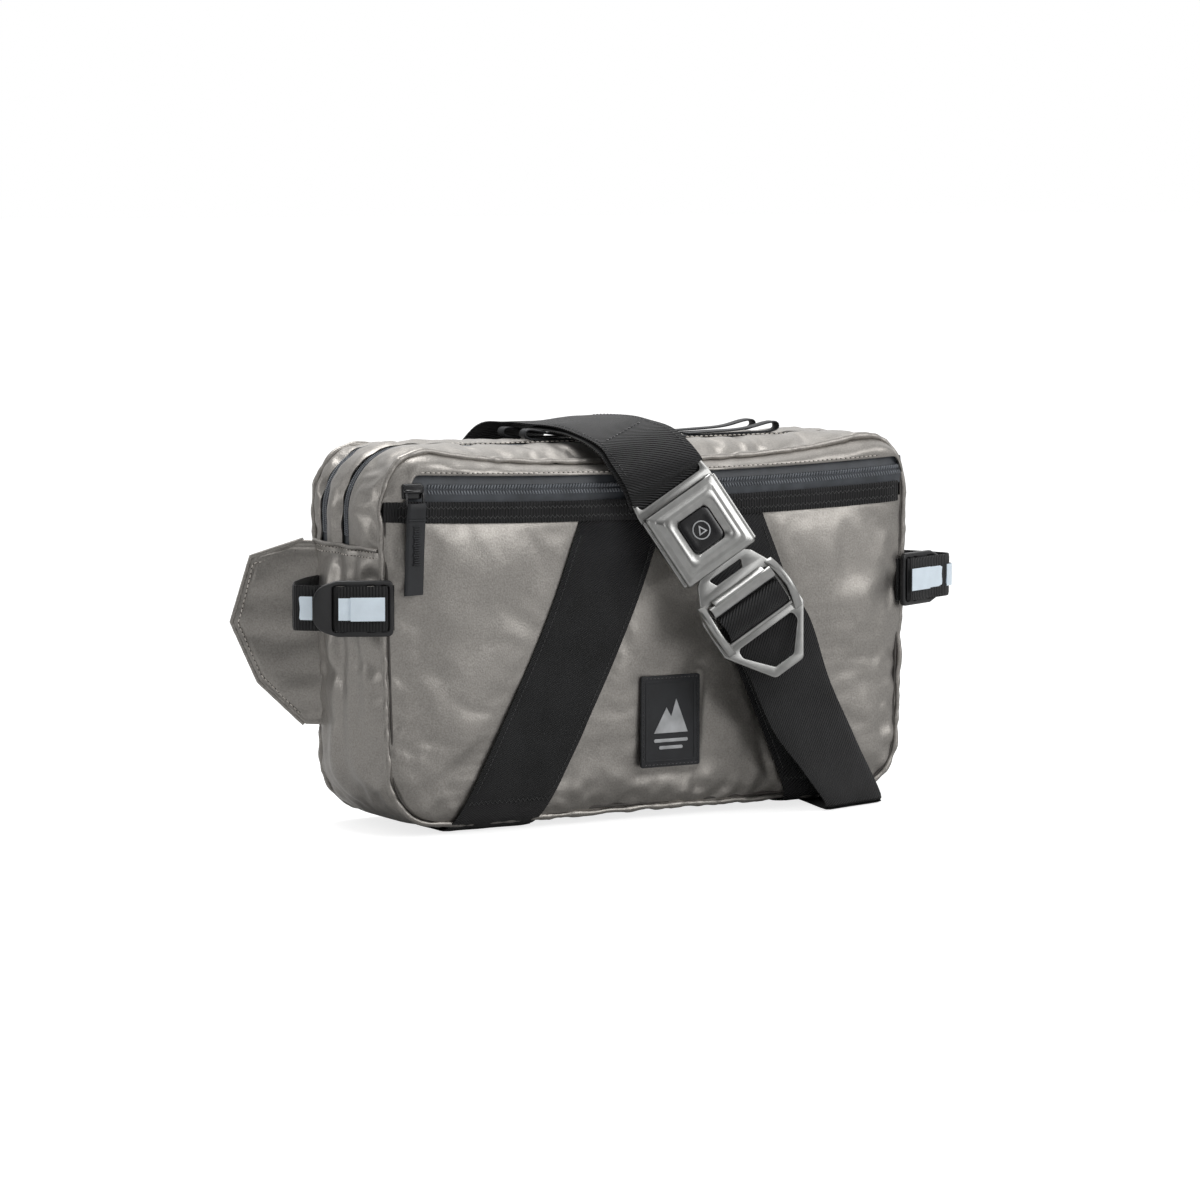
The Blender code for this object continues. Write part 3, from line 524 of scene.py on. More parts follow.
def tube(name, points, radii, look, body="bag", stands_for=(), sides=12, closed=False, place=None):
    """A round cord of varying radius along a path."""
    points = np.asarray(points, float)
    count = len(points)
    radii = np.broadcast_to(np.asarray(radii, float), (count,))
    ahead = np.roll(points, -1, 0) - np.roll(points, 1, 0)
    if not closed:
        ahead[0], ahead[-1] = points[1] - points[0], points[-1] - points[-2]
    ahead /= np.linalg.norm(ahead, axis=1, keepdims=True)
    side = np.cross(ahead[0], (0.3, 1.0, 0.2))
    verts = []
    for index in range(count):
        side = side - ahead[index] * np.dot(side, ahead[index])
        side /= np.linalg.norm(side)
        up = np.cross(ahead[index], side)
        for turn in range(sides):
            angle = 2 * math.pi * turn / sides
            verts.append(points[index] + radii[index] * (side * math.cos(angle) + up * math.sin(angle)))
    faces = grid_faces(count, sides, closed=True)
    if closed:
        last = (count - 1) * sides
        faces += [(last + turn, last + (turn + 1) % sides, (turn + 1) % sides, turn) for turn in range(sides)]
    else:
        faces.append(tuple(range(sides)))
        faces.append(tuple((count - 1) * sides + turn for turn in reversed(range(sides))))
    item = make_piece(name, verts, faces, look, body, stands_for, place=place, smooth=50)
    recalculate(item)
    return item


def skin(*names):
    """The surface of some pieces, ready for points to be laid on."""
    verts, faces = [], []
    for name in names:
        item = bpy.data.objects[name]
        base = len(verts)
        verts += [item.matrix_world @ vertex.co for vertex in item.data.vertices]
        faces += [tuple(base + index for index in face.vertices) for face in item.data.polygons]
    return BVHTree.FromPolygons(verts, faces)


def laid(surface, points, outward, lift=0.1):
    """Points dropped on a surface against an outward direction, and the surface's normals there."""
    placed, normals = [], []
    for index, point in enumerate(points):
        way = Vector(outward[index] if len(outward) == len(points) else outward[0]).normalized()
        hit, normal, _, _ = surface.ray_cast(Vector(metres(point)[0]) + way * 0.015, -way, 0.03)
        if hit is not None:
            normal = normal if normal.dot(way) > 0 else -normal
            placed.append(tuple((hit + normal * lift * MM) / MM - Vector((0, SHIFT_Y, 0))))
            normals.append(tuple(normal))
    return placed, normals


def recalculate(item):
    """Turn every face of a closed piece outward."""
    form = bmesh.new()
    form.from_mesh(item.data)
    bmesh.ops.recalc_face_normals(form, faces=form.faces)
    form.to_mesh(item.data)
    form.free()


def rounded(corners, steps=4):
    """A closed outline; each corner is (x, y, radius)."""
    points = []
    count = len(corners)
    for index, (x, y, radius) in enumerate(corners):
        here = Vector((x, y))
        if radius == 0:
            points.append(here)
            continue
        before = (Vector(corners[index - 1][:2]) - here).normalized()
        after = (Vector(corners[(index + 1) % count][:2]) - here).normalized()
        half = before.angle(after) / 2
        centre = here + (before + after).normalized() * radius / math.sin(half)
        start = here + before * radius / math.tan(half) - centre
        end = here + after * radius / math.tan(half) - centre
        sweep = math.atan2(start.cross(end), start.dot(end))
        for step in range(steps + 1):
            points.append(centre + Matrix.Rotation(sweep * step / steps, 2) @ start)
    return points


def rectangle(width, height, radius=0.0, x=0.0, y=0.0, steps=5):
    corners = [(x - width / 2, y - height / 2, radius), (x + width / 2, y - height / 2, radius),
               (x + width / 2, y + height / 2, radius), (x - width / 2, y + height / 2, radius)]
    return rounded(corners, steps)


def plate(name, outlines, thickness, look, place, body="bag", stands_for=(), edge=0.35, segments=2):
    """A flat part with holes and softened edges, standing on a placement matrix."""
    curve = bpy.data.curves.new(name, "CURVE")
    curve.dimensions = "2D"
    curve.fill_mode = "BOTH"
    curve.extrude = (thickness / 2 - edge) * MM
    curve.bevel_depth = edge * MM
    curve.bevel_resolution = segments
    curve.offset = -edge * MM
    for outline in outlines:
        spline = curve.splines.new("POLY")
        spline.points.add(len(outline) - 1)
        for point, (x, y) in zip(spline.points, outline):
            point.co = (x * MM, y * MM, 0, 1)
        spline.use_cyclic_u = True
    shape = bpy.data.objects.new(name + "_curve", curve)
    SCENE.collection.objects.link(shape)
    graph = bpy.context.evaluated_depsgraph_get()
    mesh = bpy.data.meshes.new_from_object(shape.evaluated_get(graph))
    bpy.data.objects.remove(shape)
    form = bmesh.new()
    form.from_mesh(mesh)
    bmesh.ops.remove_doubles(form, verts=form.verts, dist=0.000005)
    bmesh.ops.recalc_face_normals(form, faces=form.faces)
    form.to_mesh(mesh)
    form.free()
    mesh.materials.clear()
    mesh.materials.append(LOOKS[look])
    item = bpy.data.objects.new(name, mesh)
    SCENE.collection.objects.link(item)
    item.matrix_world = place
    return settle(item, body, stands_for, 35)


def loft(name, rings, look, place=None, body="bag", stands_for=(), bevel=0.0, finer=0, smooth=35):
    """A closed body through rings of equal point counts, with flat ends."""
    count = len(rings[0])
    verts = [point for ring in rings for point in ring]
    faces = grid_faces(len(rings), count, closed=True)
    faces.append(tuple(range(count)))
    faces.append(tuple((len(rings) - 1) * count + index for index in range(count)))
    item = make_piece(name, verts, faces, look, None, place=place, smooth=0)
    recalculate(item)
    if bevel:
        modify(item, "BEVEL", width=bevel * MM, segments=2, limit_method="ANGLE", angle_limit=math.radians(28))
    if finer:
        modify(item, "SUBSURF", levels=finer, render_levels=finer)
    return settle(item, body, stands_for, smooth)


def facing_front(y, x=0.0, z=0.0):
    """A placement whose X and Y lie along the bag's X and Z, and whose Z points forward."""
    return Matrix.Translation(Vector((x, y + SHIFT_Y, z)) * MM) @ Matrix.Rotation(math.radians(90), 4, "X")


# ---------------------------------------------------------------- outline of the bag

def half_width(z):
    """Half of the bag's width at a height, without its rounded corners."""
    share = (np.asarray(z, float) - BODY_BOTTOM) / (BODY_TOP - BODY_BOTTOM)
    return HALF_WIDTH_BOTTOM + (HALF_WIDTH_TOP - HALF_WIDTH_BOTTOM) * share


def body_outline(inset):
    """Points (x, z) round the bag, seen from the front."""
    low, high = BODY_BOTTOM + inset, BODY_TOP - inset
    corners = [(-(half_width(low) - inset), low, BOTTOM_RADIUS - inset),
               (half_width(low) - inset, low, BOTTOM_RADIUS - inset),
               (half_width(high) - inset, high, TOP_RADIUS - inset),
               (-(half_width(high) - inset), high, TOP_RADIUS - inset)]
    return np.array([tuple(point) for point in rounded(corners, steps=14)])


def seam_share(y):
    """0 along the middle of the wall, 1 at the front or the rear seam."""
    front = np.clip((-10.0 - y) / (-10.0 - FRONT_SEAM_Y), 0, 1)
    rear = np.clip((y - 24.0) / (REAR_SEAM_Y - 24.0), 0, 1)
    return front ** 2 + 0.7 * rear ** 2


def sag(x, y, z):
    """How far the top of the bag sinks: most at its seams and in the middle."""
    reach = np.minimum(np.abs(x) / 150.0, 1.1)
    near_top = smoothstep(150, 212, z)
    return near_top * (-2.2 * (1 - reach ** 2) + seam_share(y) * (-6.6 + 8.6 * reach ** 3))


def wall_path(inset, part, count):
    """Points (x, z) of the whole outline, its upper part or its lower part, at even spacing."""
    outline = body_outline(inset)
    if part == "ring":
        loop = np.vstack([outline, outline[:1]])
    else:
        top = part == "top"
        limit = HEM_Z - 1.0
        chosen = outline[(outline[:, 1] > limit) == top]
        middle = (BODY_BOTTOM + BODY_TOP) / 2
        order = np.argsort(np.arctan2(chosen[:, 0], np.abs(chosen[:, 1] - middle)))
        end = half_width(limit) - inset
        loop = np.vstack([[(-end, limit)], chosen[order], [(end, limit)]])
    run = np.r_[0, np.cumsum(np.linalg.norm(np.diff(loop, axis=0), axis=1))]
    even = np.linspace(0, run[-1], count)
    return np.stack([np.interp(even, run, loop[:, 0]), np.interp(even, run, loop[:, 1])], axis=1)


def wall_row(y, path, depth=None):
    """Points along the wall at y, sunk as the bag's top sags; they are set down at depth."""
    z = path[:, 1] + sag(path[:, 0], y, path[:, 1])
    return np.stack([path[:, 0], np.full(len(path), y if depth is None else depth), z], axis=1)


def wall_grid(depths, part, count, extra=0.0):
    """A grid of the wall: one row for each depth."""
    insets = [SEAM_INSET * float(seam_share(y)) - extra for y in depths]
    return np.array([wall_row(y, wall_path(inset, part, count)) for y, inset in zip(depths, insets)])


def outward_from_axis(grid):
    """Unit directions away from the bag's long axis, in the plane of the outline."""
    centre = np.array([0.0, 0.0, 112.0])
    away = grid - centre
    away[..., 0] = np.sign(away[..., 0]) * np.maximum(np.abs(away[..., 0]) - 143.0, 0)
    away[..., 2] = np.sign(away[..., 2]) * np.maximum(np.abs(away[..., 2]) - 72.0, 0)
    away[..., 1] = 0
    return away / np.maximum(np.linalg.norm(away, axis=-1, keepdims=True), 1e-9)


def outline_half(z, inset):
    """Half of the outline's width at a height, with its rounded bottom corners."""
    low = BODY_BOTTOM + inset
    radius = BOTTOM_RADIUS - inset
    wide = half_width(z) - inset
    drop = np.clip(low + radius - np.asarray(z, float), 0, radius)
    return wide - radius + np.sqrt(np.maximum(radius ** 2 - drop ** 2, 0))


def outline_top(x, inset):
    """Height of the outline's upper edge at a distance along the bag."""
    high = BODY_TOP - inset
    radius = TOP_RADIUS - inset
    run = np.clip(np.abs(x) - (half_width(high) - inset - radius), 0, radius)
    return high - radius + np.sqrt(np.maximum(radius ** 2 - run ** 2, 0))


def front_surface(x, z):
    """Depth of the stuffed front panel before its cloth swells."""
    edge = np.minimum(outline_half(z, SEAM_INSET) - np.abs(x), np.asarray(z, float) - BODY_BOTTOM - SEAM_INSET)
    edge = np.maximum(edge, 0)
    rim = PANEL_DEPTH * (1 - np.exp(-edge / 6.5))
    crown = 2.2 * smoothstep(0, 90, edge)
    return FRONT_SEAM_Y - rim - crown


def band_drop(x):
    """How far the pocket's zip and band hang below a straight line."""
    return -1.2 + 3.6 * (np.abs(x) / 165.0) ** 2


# ---------------------------------------------------------------- cloth of the body

def pucker(grid, distance, amount, scale=7.0, seed=1.0, reach=9.0):
    """Small gathers that run into a seam and fade away from it."""
    return amount * np.exp(-distance / reach) * ripple(grid, scale, seed)


def make_wall():
    """The gusset strips over the top and the long panel round the sides and the bottom."""
    strips = (("front_gusset", WALL_Y[0], FRONT_ZIP_Y[0] + 0.6, 12),
              ("middle_gusset", FRONT_ZIP_Y[1] - 0.4, REAR_ZIP_Y[0] + 0.6, 7),
              ("rear_gusset", REAR_ZIP_Y[1] - 0.6, WALL_Y[1], 6))
    for index, (name, start, end, count) in enumerate(strips):
        depths = np.linspace(start, end, count)
        grid = wall_grid(depths, "top", TOP_COLUMNS, 0.3)
        away = outward_from_axis(grid)
        across = np.sin(np.linspace(0, math.pi, count))[:, None]
        pins = np.zeros(grid.shape[:2], bool)
        pins[[0, -1], :] = True
        pins[:, [0, -1]] = True
        grid = grid + away * (across * 1.1)[..., None]
        grid = simulate(grid, pins, 5.0, 2.2, 0.022, outward=(0, 0, 1))
        distance = np.minimum(depths - start, end - depths)[:, None] * np.ones(TOP_COLUMNS)
        if name == "front_gusset":
            distance = (depths - start)[:, None] * np.ones(TOP_COLUMNS)
        wave = pucker(grid, distance, 1.9, 8.0, index + 2.0) + 1.1 * across * ripple(grid, 24, index + 5.0)
        corner = smoothstep(196, 168, grid[..., 2])
        wave = wave + across * corner * 2.7 * ripple(grid * (1, 0.5, 1), 13, index + 11.0)
        grid = grid + away * wave[..., None]
        strip = cloth_piece(name, grid, "fabric", stands_for=(name,), outward=(0, 0, 1))

    depths = np.linspace(*WALL_Y, 24)
    grid = wall_grid(depths, "bottom", LOW_COLUMNS, 0.9)
    away = outward_from_axis(grid)
    pins = np.zeros(grid.shape[:2], bool)
    pins[[0, -1], :] = True
    pins[:, [0, -1]] = True
    pins |= grid[..., 2] < 12
    grid = simulate(grid, pins, 6.0, 1.4, 0.03, outward=(0, 0, -1))
    side = smoothstep(8, 30, grid[..., 2])
    distance = np.minimum(depths - depths[0], depths[-1] - depths)[:, None] * np.ones(LOW_COLUMNS)
    folds = 4.4 * ripple(grid * (1, 1, 0.16), 12, 3.0) * smoothstep(1, 16, distance)
    low_folds = 2.4 * ripple(grid * (1, 1, 0.6), 17, 13.0) * smoothstep(1, 16, distance)
    low_folds = low_folds * smoothstep(95, 40, grid[..., 2])
    wave = side * (folds + low_folds + pucker(grid, distance, 1.6, 9.0, 9.0))
    grid = grid + away * wave[..., None]
    grid[..., 2] = np.maximum(grid[..., 2], 3.2)
    panel = cloth_piece("wall_panel", grid, "fabric", outward=(0, 0, -1),
                        stands_for=("bottom_gusset", "side_panel_left", "side_panel_right"))


def front_grid():
    """The front panel between its seam and the pocket band."""
    low = BODY_BOTTOM + SEAM_INSET
    share = np.linspace(0, 1, 52)
    heights = low + (BAND_BOTTOM + 3.0 - low) * (0.35 * share ** 2 + 0.65 * share)
    across = np.linspace(-1, 1, 104)
    half = outline_half(heights, SEAM_INSET)
    x = half[:, None] * across[None, :]
    z = np.repeat(heights[:, None], len(across), axis=1)
    z = z + band_drop(x) * smoothstep(120, BAND_BOTTOM, z)
    return np.stack([x, front_surface(x, z), z], axis=-1)


def drift(knots, z):
    """X of slanted webbing at a height, straight between its knots."""
    heights = [knot[0] for knot in reversed(knots)]
    places = [knot[1] for knot in reversed(knots)]
    return np.interp(z, heights, places)


DIAGONALS = {"left": ((178.4, -24.0), (108.0, -51.5), (5.0, -105.5)),
             "right": ((178.4, 43.0), (92.0, 80.0), (5.0, 121.0))}
PATCH_MIDDLE = (8.0, 58.0)
PATCH_SIZE = (40.0, 54.0)


def under_webbing(grid, margin=0.0):
    """Which points of the front lie under the slanted webbing or the patch."""
    x, z = grid[..., 0], grid[..., 2]
    covered = (np.abs(x - PATCH_MIDDLE[0]) < PATCH_SIZE[0] / 2 + margin)
    covered &= np.abs(z - PATCH_MIDDLE[1]) < PATCH_SIZE[1] / 2 + margin
    for knots in DIAGONALS.values():
        covered |= np.abs(x - drift(knots, z)) < DIAGONAL_HALF + margin
    return covered


def make_front():
    """The stuffed front panel, gathered at its seams and held down under the webbing and the patch."""
    grid = front_grid()
    rows, columns = grid.shape[:2]
    pins = np.zeros((rows, columns), bool)
    pins[[0, -1], :] = True
    pins[:, [0, -1]] = True
    held = under_webbing(grid, 0.5)
    grid = simulate(grid, pins | held, 5.0, 1.6, 0.005)
    x, z = grid[..., 0], grid[..., 2]
    edge = np.minimum(outline_half(z, SEAM_INSET) - np.abs(x), z - BODY_BOTTOM - SEAM_INSET)
    edge = np.maximum(edge, 0)
    free = 1 - under_webbing(grid, 2.0)
    below = smoothstep(BAND_BOTTOM - 1, BAND_BOTTOM - 9, z)
    wave = pucker(grid, edge, 4.6, 9.0, 4.0, 13.0) * smoothstep(0, 4, edge)
    wave = wave + free * smoothstep(6, 30, edge) * (2.9 * ripple(grid, 52, 6.0) + 0.7 * ripple(grid, 24, 26.0))
    wave = wave + free * pucker(grid * (0.6, 1, 1), edge, 2.4, 19.0, 14.0, 34.0)
    wave = (wave + free * pucker(grid, np.maximum(BAND_BOTTOM - z, 0), 0.9, 12.0, 8.0, 14.0)) * below
    grid[..., 1] -= wave
    # room for the pull to hang at the far end of its zip
    room = smoothstep(120, 131, x) * smoothstep(164, 152, x) * smoothstep(124, 140, z)
    grid[..., 1] += room * np.maximum(-49.7 - grid[..., 1], 0)
    panel = cloth_piece("front_panel_cloth", grid, "fabric", stands_for=("front_panel", "pocket_backing"),
                        outward=(0, -1, 0))


def make_top_strip():
    """Cloth between the top seam and the pocket zip, with a folded and stitched lower edge."""
    columns = 150
    x = np.linspace(-177.3, 174.5, columns)
    seam = outline_top(x, SEAM_INSET)
    seam = seam + sag(x, FRONT_SEAM_Y, seam)
    fold = 203.8 + 4.0 * (np.abs(x) / 165) ** 2
    ends = smoothstep(159.0, 165.0, -x)
    fold = fold + (BAND_TOP - 1.4 + band_drop(x) - fold) * ends
    fold = fold + (seam - 5.0 - fold) * smoothstep(166.0, 172.0, x)
    fold = np.minimum(fold, seam - 1.0)
    share = np.linspace(0, 1, 9)[:, None]
    z = fold + (seam - fold) * share
    bulge = np.sin(np.clip(share, 0, 1) * math.pi) ** 0.8
    y = FRONT_SEAM_Y + (band_face(x) - 0.3 - FRONT_SEAM_Y) * (1 - share ** 2.2) - 1.3 * bulge
    grid = np.stack([np.repeat(x[None, :], 9, 0), y, z], axis=-1)
    wave = 1.5 * ripple(grid, 13, 12.0) * (0.3 + bulge)
    grid[..., 1] -= wave
    roll = grid[:1].copy()
    roll[..., 1] += 1.3
    roll[..., 2] += 0.4
    grid = np.concatenate([roll, grid])
    strip = cloth_piece("top_strip", grid, "fabric", stands_for=("front_top_strip",), outward=(0, -1, 0))
    line = [(place, -48.0, height + 2.0) for place, height in zip(x[::3], fold[::3]) if abs(place) < 157]
    placed, normals = laid(skin("top_strip"), line, [(0, -1, 0)])
    stitches("top_strip_stitch", placed, normals)


def band_face(x):
    """Depth of the band's and the zip's cloth, just in front of the panel."""
    return front_surface(np.asarray(x, float), 150.0) - 1.5


def make_band():
    """The ribbed band and the coated zip above it."""
    columns = 120
    x = np.linspace(-176.4, 176.4, columns)
    stations = []
    for place, face, lower in zip(x[::3], band_face(x[::3]), band_drop(x[::3])):
        stations.append(((place, face, (BAND_BOTTOM + BAND_TOP) / 2 + lower), (0, 0, 1), (0, -1, 0)))
    webbing("ribbed_band", stations, BAND_TOP - BAND_BOTTOM, 1.3, "grosgrain", stands_for=("pocket_band",),
            waviness=0.5)
    surface = skin("ribbed_band")
    for row, height in enumerate((BAND_BOTTOM + 3.4, BAND_TOP - 3.4)):
        zig = []
        for index in range(int(338 / 1.5)):
            place = -169 + index * 1.5
            turn = 0.75 if index % 2 else -0.75
            zig.append((place, float(band_face(place)), height + turn + float(band_drop(place))))
        tube(f"band_stitch_{row}", laid(surface, zig, [(0, -1, 0)], 0.12)[0], 0.27, "black_thread", sides=5)

    low, high = BAND_TOP - 1.6, 205.4
    share = np.linspace(0, 1, 12)[:, None]
    x = np.linspace(-168.0, 176.6, columns)
    z = low + (high - low) * share + band_drop(x) * (1 - 0.25 * share) + 0.8 * share
    middle = (ZIP_Z - low) / (high - low)
    hump = 1.3 * np.exp(-((share - middle) / 0.26) ** 2)
    groove = 0.8 * np.exp(-((share - middle) / 0.05) ** 2)
    y = band_face(x) + 1.4 + 1.6 * share - hump + groove
    grid = np.stack([np.repeat(x[None, :], 12, 0), y, z], axis=-1)
    grid[..., 1] -= 0.35 * ripple(grid, 16, 3.0)
    cloth_piece("pocket_zip_cloth", grid, "zip_tape", stands_for=("pocket_zip_tape", "pocket_zip_coil"),
                outward=(0, -1, 0), thickness=1.0)
    surface = skin("pocket_zip_cloth")
    line = [(place, float(band_face(place)), ZIP_Z + float(band_drop(place)) + 0.7)
            for place in np.arange(-150, 174, TEETH_PITCH)]
    placed, _ = laid(surface, line, [(0, -1, 0)], 0.12)
    zip_teeth("pocket_zip_teeth", [(spot, (1, 0, 0), (0, -1, 0)) for spot in placed], TEETH_PITCH)


def zip_teeth(name, rows, pitch, height=2.6, body="bag"):
    """Two rows of small rounded teeth beside a zip's middle line."""
    verts, faces = [], []
    for place, along, normal in rows:
        along, normal = Vector(along), Vector(normal)
        up = normal.cross(along).normalized()
        for side in (-1, 1):
            middle = Vector(place) + up * side * (height / 2 + 0.35)
            base = len(verts)
            for lift, size in ((-0.3, 1.0), (0.62, 0.62)):
                for u, v in ((-1, -1), (1, -1), (1, 1), (-1, 1)):
                    slant = 0.22 * pitch * v * side
                    verts.append(middle + along * (u * pitch * 0.36 * size + slant)
                                 + up * v * height / 2 * (0.94 if size == 1 else 0.74) + normal * lift)
            faces += [(base + a, base + (a + 1) % 4, base + 4 + (a + 1) % 4, base + 4 + a) for a in range(4)]
            faces.append((base + 4, base + 5, base + 6, base + 7))
            faces.append((base + 3, base + 2, base + 1, base))
    item = make_piece(name, verts, faces, "zip_teeth", body, smooth=0)
    recalculate(item)


def make_top_zips():
    """Coated zips that run over the top and down to the side hems."""
    surface = skin("front_gusset", "middle_gusset", "rear_gusset")
    for name, (start, end) in (("front", FRONT_ZIP_Y), ("rear", REAR_ZIP_Y)):
        depths = np.linspace(start - 0.8, end + 0.8, 12)
        grid = wall_grid(depths, "top", TOP_COLUMNS, -0.9)
        away = outward_from_axis(grid)
        share = np.linspace(-1, 1, 12)[:, None]
        hump = 0.7 * np.exp(-(share / 0.5) ** 2) - 0.7 * np.exp(-(share / 0.1) ** 2)
        grid = grid + away * hump[..., None]
        cloth_piece(f"{name}_zip_cloth", grid, "zip_tape", stands_for=(f"{name}_zip_chain",), outward=(0, 0, 1))
        middle = (start + end) / 2
        line = wall_grid([middle], "top", 400, -0.55)
        push = outward_from_axis(line)[0]
        line = line[0]
        rows = []
        for index in range(6, 394):
            along = line[index + 1] - line[index - 1]
            along = along / np.linalg.norm(along)
            rows.append((tuple(line[index] + push[index] * 0.25), tuple(along), tuple(push[index])))
        zip_teeth(f"{name}_zip_teeth", rows, 1.15, height=1.9 if name == "front" else 2.4)
        for edge, y in (("near", start - 2.0), ("far", end + 2.0)):
            row = wall_grid([y], "top", 160, 1.0)[0]
            away = outward_from_axis(row[None])[0]
            placed, normals = laid(surface, row[2:-2], away[2:-2])
            stitches(f"{name}_zip_{edge}_stitch", placed, normals)


def make_piping():
    """Gathered piping along the front and the rear seams, with a dark rod of painted shadow in each seam's groove."""
    for name, y in (("front", FRONT_SEAM_Y), ("rear", REAR_SEAM_Y)):
        points = wall_row(y, wall_path(SEAM_INSET - 1.2, "ring", 560)[:-1])
        waves = [ripple(points, 11, 2.0 + y), ripple(points, 12, 5.0), ripple(points, 14, 8.0)]
        points = points + 0.8 * np.stack(waves, axis=1)
        radii = 1.8 + 0.75 * ripple(points, 5.0, 21.0)
        tube(f"{name}_seam_piping", points, radii, "fabric", stands_for=(f"{name}_piping",), closed=True)
        # painted shadow: a dark rod laid along the groove between the piping and the panel
        groove = wall_row(y, wall_path(SEAM_INSET + 1.6, "ring", 300)[:-1], y + 0.8 * np.sign(y))
        tube(f"{name}_seam_fold", groove, 0.75, "seam", closed=True, sides=8)


def make_back():
    """Padded back panel with sewn channels, and the divider inside the bag."""
    low = BODY_BOTTOM + SEAM_INSET
    x = np.linspace(-1, 1, 90)
    rows = 52
    top = BODY_TOP - SEAM_INSET
    heights = np.linspace(low, top, rows)
    half = outline_half(heights, SEAM_INSET)
    radius = TOP_RADIUS - SEAM_INSET
    corner = np.clip(heights - (top - radius), 0, radius)
    half = half - radius + np.sqrt(np.maximum(radius ** 2 - corner ** 2, 0))
    gx = half[:, None] * x[None, :]
    gz = np.repeat(heights[:, None], 90, axis=1)
    gz = gz + sag(gx, REAR_SEAM_Y, gz)
    edge = np.minimum(half[:, None] - np.abs(gx), np.minimum(gz - low, top - gz))
    edge = np.maximum(edge, 0)
    puff = 4.6 * (1 - np.exp(-edge / 6.0))
    for place in (70.0, 150.0):
        puff = puff - 2.6 * np.exp(-((gz - place) / 3.2) ** 2) * smoothstep(4, 14, edge)
    for place in (-62.0, 62.0):
        puff = puff - 2.2 * np.exp(-((gx - place) / 3.2) ** 2) * smoothstep(4, 14, edge)
    grid = np.stack([gx, REAR_SEAM_Y + puff, gz], axis=-1)
    grid[..., 1] += 0.5 * ripple(grid, 24, 31.0) * smoothstep(2, 14, edge)
    padding = cloth_piece("back_padding", grid, "fabric_back", stands_for=("back_panel", "back_foam"),
                          outward=(0, 1, 0), thickness=3.0)
    inner = grid.copy() * (0.975, 1, 0.97)
    inner[..., 1] = 11.0 + 0.8 * ripple(inner, 40, 3.0)
    inner[..., 2] += 3.0
    divider = cloth_piece("divider_cloth", inner[::2, ::2], "lining", stands_for=("compartment_divider",),
                          outward=(0, 1, 0), finer=0)


# ---------------------------------------------------------------- webbing and patch

def make_diagonals():
    """Slanted webbing sewn over the front and wrapped under the bag."""
    face = FRONT_FACE - 2.9
    run = ((face + 0.9, BAND_BOTTOM + 1.6), (face - 0.2, 170.0), (face - 0.4, 120.0), (face - 0.4, 60.0),
           (face, 34.0), (face + 1.0, 22.0), (face + 3.2, 13.0), (face + 6.0, 7.4), (-38.6, 3.6))
    for word, knots in DIAGONALS.items():
        under = 0.9 if word == "left" else 2.4
        stations = []
        for index, (y, z) in enumerate(run):
            before, after = run[max(index - 1, 0)], run[min(index + 1, len(run) - 1)]
            normal = (0, after[1] - before[1], before[0] - after[0])
            stations.append(((float(drift(knots, z)), y, z), (1, 0, 0), normal))
        low_x = knots[-1][1]
        stations.append(((low_x, -34.0, under + 0.9), (1, 0, 0), (0, -0.4, -1)))
        for y in (-29.0, 0.0, 36.0):
            stations.append(((low_x, y, under), (1, 0, 0), (0, 0, -1)))
        webbing(f"slanted_webbing_{word}", stations, 2 * DIAGONAL_HALF, 1.5,
                stands_for=(f"diagonal_webbing_{word}",), waviness=0.5)
        for edge in (-1, 1):
            line = [(float(drift(knots, z)) + edge * (DIAGONAL_HALF - 3.4), y - 0.85, z) for y, z in run[1:6]]
            stitches(f"slanted_stitch_{word}_{'ab'[edge > 0]}", line, [(0, -1, 0)], "black_thread", pitch=2.9,
                     radius=0.3)
        tack = []
        for index in range(36):
            share = index / 35
            height = 18.0 + (0.9 if index % 2 else -0.9)
            tack.append((low_x + (share - 0.5) * 1.86 * DIAGONAL_HALF + (float(drift(knots, 18.0)) - low_x),
                         face + 1.6 - 0.9, height))
        tube(f"slanted_tack_{word}", tack, 0.26, "black_thread", sides=5)


def make_patch():
    """Rubber patch with a raised rim, a sewn edge and a plain emblem: two peaks over two bars."""
    face = FRONT_FACE - 3.3
    width, height = PATCH_SIZE
    place = facing_front(face, PATCH_MIDDLE[0], PATCH_MIDDLE[1])
    plate("patch_plate", [rectangle(width, height, 1.4)], 1.8, "rubber", place, stands_for=("rubber_patch",))
    rim = facing_front(face - 0.75, PATCH_MIDDLE[0], PATCH_MIDDLE[1])
    plate("patch_rim", [rectangle(width - 5.6, height - 5.6, 1.0), rectangle(width - 8.6, height - 8.6, 0.8)],
          0.9, "rubber", rim, edge=0.2)
    corners = [(-width / 2 + 1.5, -height / 2 + 1.5), (width / 2 - 1.5, -height / 2 + 1.5),
               (width / 2 - 1.5, height / 2 - 1.5), (-width / 2 + 1.5, height / 2 - 1.5)]
    for index in range(4):
        (x0, z0), (x1, z1) = corners[index], corners[(index + 1) % 4]
        line = [(PATCH_MIDDLE[0] + x0 + (x1 - x0) * share, face - 1.0, PATCH_MIDDLE[1] + z0 + (z1 - z0) * share)
                for share in (0, 0.5, 1)]
        stitches(f"patch_stitch_{index}", line, [(0, -1, 0)], "black_thread", pitch=2.6, length=1.8,
                 radius=0.26)
    ink = facing_front(face - 1.0, PATCH_MIDDLE[0], PATCH_MIDDLE[1])
    peak = [Vector(point) for point in ((-11.5, -7.0), (-3.0, 8.0), (0.2, 2.6), (3.6, 13.0), (11.5, -7.0))]
    plate("patch_peak", [peak], 0.5, "emblem", ink, stands_for=("patch_emblem",), edge=0.12)
    for index, reach in enumerate((11.5, 8.0)):
        bar = rectangle(2 * reach, 2.0, 0.9, y=-11.4 - 4.2 * index)
        plate(f"patch_bar_{index}", [bar], 0.5, "emblem", ink, edge=0.12)


